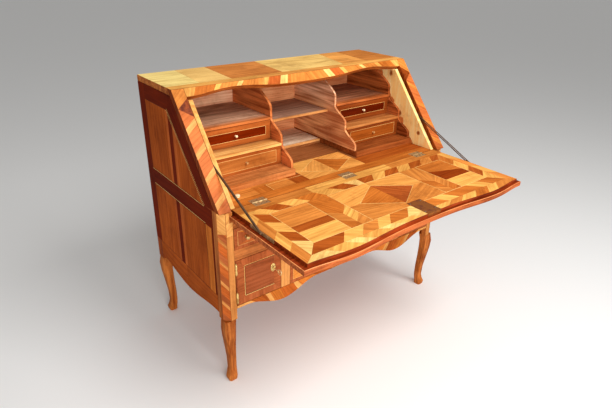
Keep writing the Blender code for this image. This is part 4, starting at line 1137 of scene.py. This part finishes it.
# %% [markdown]
# ## Corner posts and apron
# The canted edge of each post has slanted reddish blocks, and its front a pale strip. The apron below
# the doors is made of slanted blocks too. Both are drawn with the helpers of the stiles and the rail.
# The apron's row is then bent, so that the lower ends of its blocks follow its two lobes.

# %% Posts and apron
FACE = plane((0, FRONT, 0), (1, 0, 0), (0, 0, 1))
POST_LOW, POST_CAP, POST_HIGH, CANT_CAP, CANT = 0.292, 0.640, 0.727, 0.650, 0.0148
APRON_TOP, APRON_DEEP, APRON_EDGE = 0.3462, 0.054, 0.335
DROP, DROP_PLACE, DROP_HALF = 0.044, 0.3146, 0.165
tiles = []
for side in (-1, 1):
    strip = sorted((side * 0.5472, side * 0.5226))
    tiles.append((rect(strip, (POST_LOW, POST_CAP)), "post", pi / 2))
    tiles.append((rect(strip, (POST_CAP, 0.690)), "straw", 0.7))
    tiles.append((rect(sorted((side * 0.5472, side * 0.5350)), (0.690, POST_HIGH)), "straw", 0.7))
sheet("post_veneer", "case", FACE, tiles, lift=0.0003)
blocks = ((0.040, "red"), (0.016, "post"), (0.030, "band"))
limits = ((0, -1, -POST_LOW), (0, 1, CANT_CAP))
for hand, side in (("left", -1), ("right", 1)):
    cant = plane((side * 0.559, FRONT + 0.011, 0), (1, side, 0), (0, 0, 1))
    tiles = ladder((-CANT, CANT), 0.24, 0.70, 0.03 * side, blocks, limits, 0.6 * side)
    tiles.append((rect((-CANT, CANT), (CANT_CAP, POST_HIGH)), "straw", 0.7 * side))
    sheet(f"cant_veneer_{hand}", "case", cant, tiles, lift=0.0003)


def droop(u, v):
    """Bends the apron's blocks to its lower edge."""
    share = (abs(u) - DROP_PLACE) / DROP_HALF
    low = APRON_EDGE - DROP * (0.5 + 0.5 * cos(pi * max(-1.0, min(1.0, share)))) + 0.0014
    return u, APRON_TOP - (APRON_TOP - v) * (APRON_TOP - low) / APRON_DEEP


cuts = [0.5205, 0.465, 0.400, 0.378, 0.330, 0.268, 0.246, 0.17, 0.09, 0.0]
tones = "straw dark straw rust dark straw rust dark post"
tiles = halves(cuts, 0.022, APRON_TOP, 0.2922, tones, 1.1)
sheet("apron_veneer", "case", FACE, tiles, warp=droop)

# %% [markdown]
# ## Drawer fronts
# Every front has a border of crossbanding, laid with its grain at right angles to the edge and mitred
# at the corners. The narrow drawers hold four triangles, and the wide ones two matched leaves. A dull
# pale string runs round the inside of each border. All fronts are framed alike, so one function does
# the border and another one fills it.

# %% Drawer fronts
UPPER, LOWER = (0.5797, 0.6639), (0.3473, 0.5369)
BANDING, DOOR_BANDING = 0.014, 0.030


def framed(x, z, width, inside):
    """Crossbanded border and the tiles inside it."""
    strips = [(shape, "band", angle) for shape, angle in border(x, z, width)]
    return strips + inside(*within(x, z, width))


def triangles(x, z):
    """Light and dark triangles that meet on the diagonals."""
    m = (sum(x) / 2, sum(z) / 2)
    a, b, c, d = rect(x, z)
    looks = (("stile", 0.0), ("dark", 1.57), ("rust", 0.0), ("band", 1.57))
    ends = ((a, b), (b, c), (c, d), (d, a))
    return [([*pair, m], tone, angle) for pair, (tone, angle) in zip(ends, looks)]


def matched(x, z):
    """Two leaves opened like a book."""
    m = sum(x) / 2
    return [(rect((x[0], m), z), "mid", 0.35), (rect((m, x[1]), z), "mid", -0.35)]


fronts = {
    "drawer_left": ((-0.5205, -0.3275), UPPER, triangles),
    "drawer_right": ((0.3275, 0.5205), UPPER, triangles),
    "wide_drawer_upper": ((-0.2845, 0.2845), UPPER, matched),
    "wide_drawer_lower": ((-0.2845, 0.2845), LOWER, matched),
}
for name, (x, z, inside) in fronts.items():
    x, z = within(x, z, 0.0008)
    sheet(f"{name}_veneer", name, FACE, framed(x, z, BANDING, inside))
    paths = loop(rect(*within(x, z, BANDING)))
    lines(f"{name}_strings", name, FACE, paths, dim_string, width=0.0014)

# %% [markdown]
# ## Doors
# A door has a broader border and one reddish leaf inside a pale and a dark string. The key plate sits on
# the border: the veneer is cut out round it, and a string that would run under it is left out, so that
# the plate lies flat.

# %% Doors
PLATE = (0.0105, 0.0215)


def single(x, z):
    """One leaf."""
    return [(rect(x, z), "door", 0.0)]


key_places = {}
for hand, x in (("left", (-0.5150, -0.3288)), ("right", (0.3330, 0.5192))):
    z, body = (0.3493, 0.5361), f"door_{hand}"
    key_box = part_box(f"key_{hand}")
    middle = key_places[hand] = (key_box[0] + key_box[1]) / 2
    hole = ((middle.x - PLATE[0], middle.x + PLATE[0]), (middle.z - PLATE[1], middle.z + PLATE[1]))
    sheet(f"door_veneer_{hand}", body, FACE, framed(x, z, DOOR_BANDING, single), [hole])
    for name, wood, gap in (("pale", pale_string, DOOR_BANDING), ("dark", dark_string, 0.0316)):
        paths = []
        for start, end in loop(rect(*within(x, z, gap))):
            upright = abs(start[0] - end[0]) < 1e-6
            if not (upright and abs(start[0] - middle.x) < PLATE[0]):
                paths.append((start, end))
        lines(f"door_{name}_strings_{hand}", body, FACE, paths, wood)

# %% [markdown]
# ## Small drawers
# The four drawers behind the fall stand a little back under their shelves. Each front is a plain frame
# round one leaf with a string between them. The right ones lie in shade and have dimmer tones. Their
# places are read from the solids, so they follow if a drawer is moved.

# %% Small drawers
small_fronts = {}
for level, shelf, gap, tone in (
    ("lower", "step_shelf", 0.012, "tan"),
    ("upper", "upper_shelf", 0.020, "deep"),
):
    for hand, dim in (("left", ""), ("right", "dim_")):
        name, rail = f"small_drawer_{hand}_{level}", dim + "frame"
        near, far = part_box(name)
        x, z = within((near.x, far.x), (near.z, far.z), 0.0006)
        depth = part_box(f"{shelf}_{hand}")[0].y + 0.004
        small_fronts[name] = (sum(x) / 2, depth, sum(z) / 2)
        shallow = plane((0, depth, 0), (1, 0, 0), (0, 0, 1))
        wide, tall = (x[0] + 0.022, x[1] - 0.022), (z[0] + gap, z[1] - gap)
        strips = [
            (rect(x, (z[0], tall[0])), rail, 0.0),
            (rect(x, (tall[1], z[1])), rail, 0.0),
            (rect((x[0], wide[0]), tall), rail, 1.57),
            (rect((wide[1], x[1]), tall), rail, 1.57),
            (rect(wide, tall), dim + tone, 0.0),
        ]
        sheet(f"{name}_veneer", name, shallow, strips, lift=0.0003)
        paths = loop(rect(wide, tall))
        lines(f"{name}_string", name, shallow, paths, dim_string, width=0.0014, lift=0.0004)

# %% [markdown]
# ## Scroll highlights
# The front edges of the dividers are sawn to a scroll, and their corners catch the light. The outline is
# read from each solid, front point by front point, and a thin pale line is swept along both of its
# corners as a painted highlight.

# %% Scrolls
# painted highlight on the corners of the scrolls
scroll_highlight = board("scroll_highlight", (210, 130, 78), (152, 82, 44))
for name in hands("inner_divider", "end_divider"):
    low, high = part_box(name)
    scroll = {}
    for corner in nodes[name].data.vertices:
        depth, height = corner.co.y, round(corner.co.z, 4)
        scroll[height] = min(depth, scroll.get(height, depth))
    for order, (x, out) in enumerate(((low.x, -1), (high.x, 1)), 1):
        cheek = plane((x, 0, 0), (0, out, 0), (0, 0, 1))
        path = [(out * (scroll[height] + 0.0005), height) for height in sorted(scroll)]
        lines(f"{name}_scroll_{order}", "case", cheek, [path], scroll_highlight, lift=0.0003)
print("scroll of", len(path), "points")

# %% [markdown]
# ## The back
# The back faces a wall, so it is plain: five poplar planks, nailed side by side and never polished.
# The planks have shrunk a little, which opened the joints. A tree sets one hammered nail head, a flat
# dome of eight sides, on every point of a small mesh.

# %% Back
NAIL, PLANK, GAP = 0.0042, 0.0012, 0.0012
nail_heads, given, made = geometry_tree("nail_heads", Radius=NAIL)
flat = sums(nail_heads, "MULTIPLY", given["Radius"], 0.55)
wires = {"Vertices": 8, "Radius Top": flat, "Radius Bottom": given["Radius"], "Depth": 0.0016}
dome = node(nail_heads, "GeometryNodeMeshCone", wires)
wires = {"Points": given["Geometry"], "Instance": dome.outputs[0]}
close_tree(nail_heads, node(nail_heads, "GeometryNodeInstanceOnPoints", wires).outputs[0], given, made)
low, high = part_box("back_panel")
BACK = plane((0, high.y, 0), (-1, 0, 0), (0, 0, 1))
u, v = within((-high.x, high.x), (low.z, high.z), 0.002)
cuts = [v[0] + (v[1] - v[0]) * share for share in (0, 0.22, 0.40, 0.63, 0.81, 1)]
tiles, nails = [], []
for i, (low, high) in enumerate(zip(cuts, cuts[1:])):
    tiles.append((rect(u, (low + GAP, high - GAP)), ("poplar", "brown_poplar")[i % 2], 0.0))
    for share in (0.22, 0.78):
        height = low + (high - low) * share
        nails += [(end * side, height, PLANK) for end in (0.533, 0.02) for side in (-1, 1)]
sheet("back_planks", "case", BACK, tiles, lift=PLANK)
add_piece("back_nails", "case", grown(nail_heads, nails, [], iron, Radius=NAIL), BACK)
print(len(nails), "nails in the back")

# %% [markdown]
# ## The outside of the fall
# When the fall is shut, its outer face shows: a crossbanded border, matched leaves and a lozenge. It is
# drawn here on the underside of the open fall, as seen from below, and goes along when the fall shuts.

# %% Fall, outer face
UNDER = plane((0, AXIS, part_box("fall_panel")[0].z), (-1, 0, 0), (0, 1, 0))
near, middle, far = -0.36, -0.2175, -0.075
half, tip = 0.475, 0.20
tiles = [(shape, "rust", angle) for shape, angle in border((-0.520, 0.520), (-0.405, -0.030), 0.045)]
for side, tone in ((-1, "light"), (1, "mid")):
    corner, end = (side * tip, middle), side * half
    tiles.append(([(0, near), corner, (0, far)], tone, 0.8 * side))
    tiles.append(([(0, near), corner, (end, middle), (end, near)], "mid", 0.2 * side))
    tiles.append(([(0, far), corner, (end, middle), (end, far)], "light", -0.2 * side))
sheet("fall_outer_veneer", "fall", UNDER, tiles)
paths = loop([(0, near), (tip, middle), (0, far), (-tip, middle)])
paths += loop(rect((-half, half), (near, far)))
lines("fall_outer_strings", "fall", UNDER, paths)

# %% [markdown]
# ## A lathe
# Knobs and hinge tips are turned on a lathe. Stacked spheres and cylinders would show seams, so the
# lathe is copied: the outline of half a piece is spun round its axis, and both ends are closed.

# %% Lathe
SIDES = 28


def turned(name, body, profile, centre, axis, stuff, steps=SIDES):
    """Piece spun from pairs (along the axis, radius) and closed at both ends."""
    axis, across = Vector(axis), Vector((1, 0, 0))
    other = axis.cross(across)
    points, faces = [], []
    for along, radius in profile:
        for i in range(steps):
            turn = 2 * pi * i / steps
            round_about = (across * cos(turn) + other * sin(turn)) * radius
            points.append(Vector(centre) + axis * along + round_about)
    for ring in range(len(profile) - 1):
        for i in range(steps):
            a, b = ring * steps + i, ring * steps + (i + 1) % steps
            faces.append((a, b, b + steps, a + steps))
    faces.append(tuple(reversed(range(steps))))
    faces.append(tuple(range((len(profile) - 1) * steps, len(profile) * steps)))
    mesh = bpy.data.meshes.new(name)
    mesh.from_pydata(points, [], faces)
    for face in mesh.polygons:
        face.use_smooth = len(face.vertices) == 4
    mesh.materials.append(stuff)
    return add_piece(name, body, mesh)


print("a turned piece has", SIDES, "sides")

# %% [markdown]
# ## Turned knobs
# Brass knobs pull the drawers of the case, and smaller ones of bone and horn those behind the fall.
# Each has a round head, a thin neck and a collar that sits on the front. One outline, given in parts
# of the neck's size, serves for all. One low bone button stands on the left of the bed.

# %% Knobs
KNOB = [(-0.15, 0.80), (0.20, 0.80), (0.27, 0.72), (0.33, 0.54), (0.50, 0.52), (0.75, 0.54)]
KNOB += [(1.00, 0.70), (1.15, 0.88), (1.30, 0.99), (1.50, 1.05), (1.75, 1.06), (2.00, 0.93)]
KNOB += [(2.20, 0.76), (2.34, 0.48), (2.40, 0.16)]
BUTTON = [(-0.0003, 0.0088), (0.0014, 0.0090), (0.0020, 0.0062), (0.0032, 0.0060), (0.0044, 0.0086)]
BUTTON += [(0.0058, 0.0094), (0.0072, 0.0090), (0.0084, 0.0070), (0.0090, 0.0040), (0.0092, 0.0010)]
CASE_KNOB, SMALL_KNOB = 0.008, 0.005


def knob(name, body, place, radius, stuff):
    """Turned knob that stands out of a front."""
    profile = [(out * radius, wide * radius) for out, wide in KNOB]
    turned(name, body, profile, place, (0, -1, 0), stuff)


for name, (x, z, _) in fronts.items():
    quarter = (x[1] - x[0]) / 4
    for end, u in (("left", x[0] + quarter), ("right", x[1] - quarter)):
        knob(f"{name}_knob_{end}", name, (u, FRONT, sum(z) / 2), CASE_KNOB, knob_brass)
horn = board("horn", (214, 160, 98), (150, 96, 50), axis="Y", strength=0.2, polish=0.4)
for name, place in small_fronts.items():
    stuff = horn if name.endswith("lower") else bone
    knob(name.replace("drawer", "knob"), name, place, SMALL_KNOB, stuff)
place = (-0.448, 0.001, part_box("writing_bed")[1].z)
turned("bed_button", "case", BUTTON, place, (0, 0, 1), bone)
print(2 * len(fronts) + len(small_fronts), "knobs of", len(KNOB), "rings and a button")

# %% [markdown]
# ## Screws
# Hinges and lock are held by slotted screws. One screw is drawn by a tree, a flat disc with a saw cut,
# and set on every point of a small mesh, each turned by chance as a screwdriver leaves it.

# %% Screws
SCREW = 0.0026
screws, given, made = geometry_tree("screws", Radius=SCREW, Seed=3)
wires = {"Vertices": 24, "Radius": given["Radius"], "Depth": 0.0010}
disc = node(screws, "GeometryNodeMeshCylinder", wires)
slit = node(screws, "GeometryNodeMeshCube", {"Size": (0.0080, 0.0007, 0.0008)})
wires = {"Geometry": slit.outputs[0], "Translation": (0, 0, 0.0005)}
raised = node(screws, "GeometryNodeTransform", wires)
wires = {"Mesh 1": disc.outputs[0], "Mesh 2": raised.outputs[0]}
head = node(screws, "GeometryNodeMeshBoolean", wires, operation="DIFFERENCE")
turn = node(screws, "FunctionNodeRandomValue", {"Seed": given["Seed"], 3: 3.14}, data_type="FLOAT")
angle = node(screws, "ShaderNodeCombineXYZ", {"Z": turn.outputs[1]})
wires = {"Points": given["Geometry"], "Instance": head.outputs[0], "Rotation": angle.outputs[0]}
close_tree(screws, node(screws, "GeometryNodeInstanceOnPoints", wires).outputs[0], given, made)
screw_iron = metal("screw_iron", (176, 156, 130), (92, 66, 44), 0.30, 90.0)


def screw(name, body, surface, places, radius=SCREW):
    """Screw heads at points on a surface."""
    points = [(u, v, 0.0) for u, v in places]
    mesh = grown(screws, points, [], screw_iron, Radius=radius, Seed=3)
    print(name, len(places), "screws")
    return add_piece(name, body, mesh, surface)


spots = [(x + away, -0.0155) for x in HINGES for away in (-0.021, 0.0, 0.021)]
screw("fall_hinge_screws", "fall", LID, spots)
screw("bed_hinge_screws", "case", BED, [(u, -v) for u, v in spots])
middle = (lock[0] + lock[1]) / 2
spots = [(middle.x + u, lock[1].y - AXIS - v) for u in (-0.026, 0.026) for v in (0.010, 0.078)]
screw("lock_screws", "fall", LID, spots, 0.0030)

# %% [markdown]
# ## Brass on the doors
# Each door turns on two small pin hinges with turned tips. The lower half of a hinge stays on the
# case, and the upper half, the same shape turned over, goes with the door. Round the key sits a brass
# plate with a waved edge: three rings of points follow the wave, and three make the round hole.

# %% Hinges and key plates
HINGE = [(-0.0075, 0.0003), (-0.0070, 0.0014), (-0.0058, 0.0022), (-0.0046, 0.0014)]
HINGE += [(-0.0036, 0.0016), (-0.0026, 0.0032), (-0.0004, 0.0041), (0.0010, 0.0041)]
HINGE += [(0.0014, 0.0040), (0.0150, 0.0040), (0.0156, 0.0042), (0.0172, 0.0042)]
HINGE_LENGTH, PIN_OUT = 0.036, 0.0041
EDGE_RINGS = ((0.0, -0.0002), (0.0, 0.0010), (-0.0012, 0.0017))
HOLE_RINGS = ((0.0046, 0.0017), (0.0038, 0.0013), (0.0038, -0.0002))


def plate_edge(turn):
    """Distance of the waved edge of a key plate from its centre."""
    round_part = 1 / ((cos(turn) / 0.0106) ** 2 + (sin(turn) / 0.0176) ** 2) ** 0.5
    return round_part * (1 + 0.035 * cos(8 * turn))


def key_plate(name, body, x, z, steps=64):
    """Plate with a round hole for the key."""
    turns = [2 * pi * i / steps for i in range(steps)]
    rings = [([plate_edge(turn) + out for turn in turns], height) for out, height in EDGE_RINGS]
    rings += [([radius] * steps, height) for radius, height in HOLE_RINGS]
    points, faces = [], []
    for order, (reach, height) in enumerate(rings):
        here, after = order * steps, (order + 1) % len(rings) * steps
        for i, (turn, far) in enumerate(zip(turns, reach)):
            j = (i + 1) % steps
            points.append((x + far * cos(turn), FRONT - height, z + far * sin(turn)))
            faces.append((here + i, here + j, after + j, after + i))
    mesh = bpy.data.meshes.new(name)
    mesh.from_pydata(points, [], faces)
    mesh.materials.append(brass)
    return add_piece(name, body, mesh)


for hand, pin in (("left", -0.5201), ("right", 0.3279)):
    door = f"door_{hand}"
    for end, z in (("low", 0.3645), ("high", 0.4850)):
        for half, body, height, up in (("case", "case", z, 1), ("door", door, z + HINGE_LENGTH, -1)):
            centre = (pin, FRONT - PIN_OUT, height)
            turned(f"door_hinge_{hand}_{end}_{half}", body, HINGE, centre, (0, 0, up), brass, 20)
    key_plate(f"key_plate_{hand}", door, key_places[hand].x, key_places[hand].z)
print("hinge halves of", len(HINGE), "rings and key plates of", len(EDGE_RINGS + HOLE_RINGS))

# %% [markdown]
# ## Floor and light
# The desk stands on a plain pale floor. A large soft lamp hangs in front and to the right, so the top
# and the fall are bright and the left side lies in shade. A weaker lamp low in front reaches into the
# shelves, and an even white sky lifts the rest.

# %% Floor and light
paper = bpy.data.materials.new("paper")
paper.use_nodes = True
tree = paper.node_tree
shader = tree.nodes["Principled BSDF"]
grey = noise(tree, node(tree, "ShaderNodeTexCoord").outputs["Object"], (3.0, 3.0, 3.0), 4.0)
tree.links.new(ramp(tree, grey, 0.3, 0.7, 0.80, 0.86), shader.inputs["Roughness"])
shader.inputs["Base Color"].default_value = (0.86, 0.85, 0.83, 1)
FLOOR = 60
points = [(FLOOR * cos(i * pi / 48), FLOOR * sin(i * pi / 48), -0.0005) for i in range(96)]
floor_mesh = bpy.data.meshes.new("floor")
floor_mesh.from_pydata(points, [], [list(range(96))])
floor_mesh.materials.append(paper)
floor = bpy.data.objects.new("floor", floor_mesh)
bpy.context.scene.collection.objects.link(floor)


def lamp(name, place, aim, size, power):
    """Square soft lamp that looks at a point."""
    light = bpy.data.lights.new(name, "AREA")
    light.size, light.energy = size, power
    made = bpy.data.objects.new(name, light)
    made.location = place
    made.rotation_euler = (Vector(aim) - Vector(place)).to_track_quat("-Z", "Y").to_euler()
    bpy.context.scene.collection.objects.link(made)
    return made


key = lamp("key_lamp", (0.6, -1.9, 3.2), (0, 0, 0.7), 1.6, 88)
fill = lamp("fill_lamp", (-1.1, -2.9, 1.35), (0, 0.2, 0.85), 1.6, 68)
world = bpy.data.worlds.new("studio")
world.use_nodes = True
sky = world.node_tree.nodes["Background"].inputs
sky["Color"].default_value = (1.0, 1.0, 1.0, 1)
sky["Strength"].default_value = 0.40
bpy.context.scene.world = world
print("lamps of", key.data.energy, "and", fill.data.energy, "watts")

# %% [markdown]
# ## Camera
# The camera stands where the picture of the desk was taken from: in front on the left, a little above
# the desk, and not quite level. Its three directions are worked out from two angles and the roll.

# %% Camera
turn, rise, roll = radians(-38.25078), radians(25.84823), radians(1.12962)
behind = Vector((sin(turn) * cos(rise), -cos(turn) * cos(rise), sin(rise)))
level = Vector((cos(turn), sin(turn), 0))
above = behind.cross(level)
across = cos(roll) * level + sin(roll) * above
upward = cos(roll) * above - sin(roll) * level
lens = bpy.data.cameras.new("camera")
lens.lens, lens.sensor_width = 29.4613, 36.0
camera = bpy.data.objects.new("camera", lens)
camera.matrix_world = Matrix((across, upward, behind)).transposed().to_4x4()
camera.location = (-1.24041805, -1.39210954, 1.47441157)
bpy.context.scene.collection.objects.link(camera)
bpy.context.scene.camera = camera
bpy.context.scene.view_settings.view_transform = "Standard"
print("the camera stands", round(camera.location.z, 2), "m above the floor")
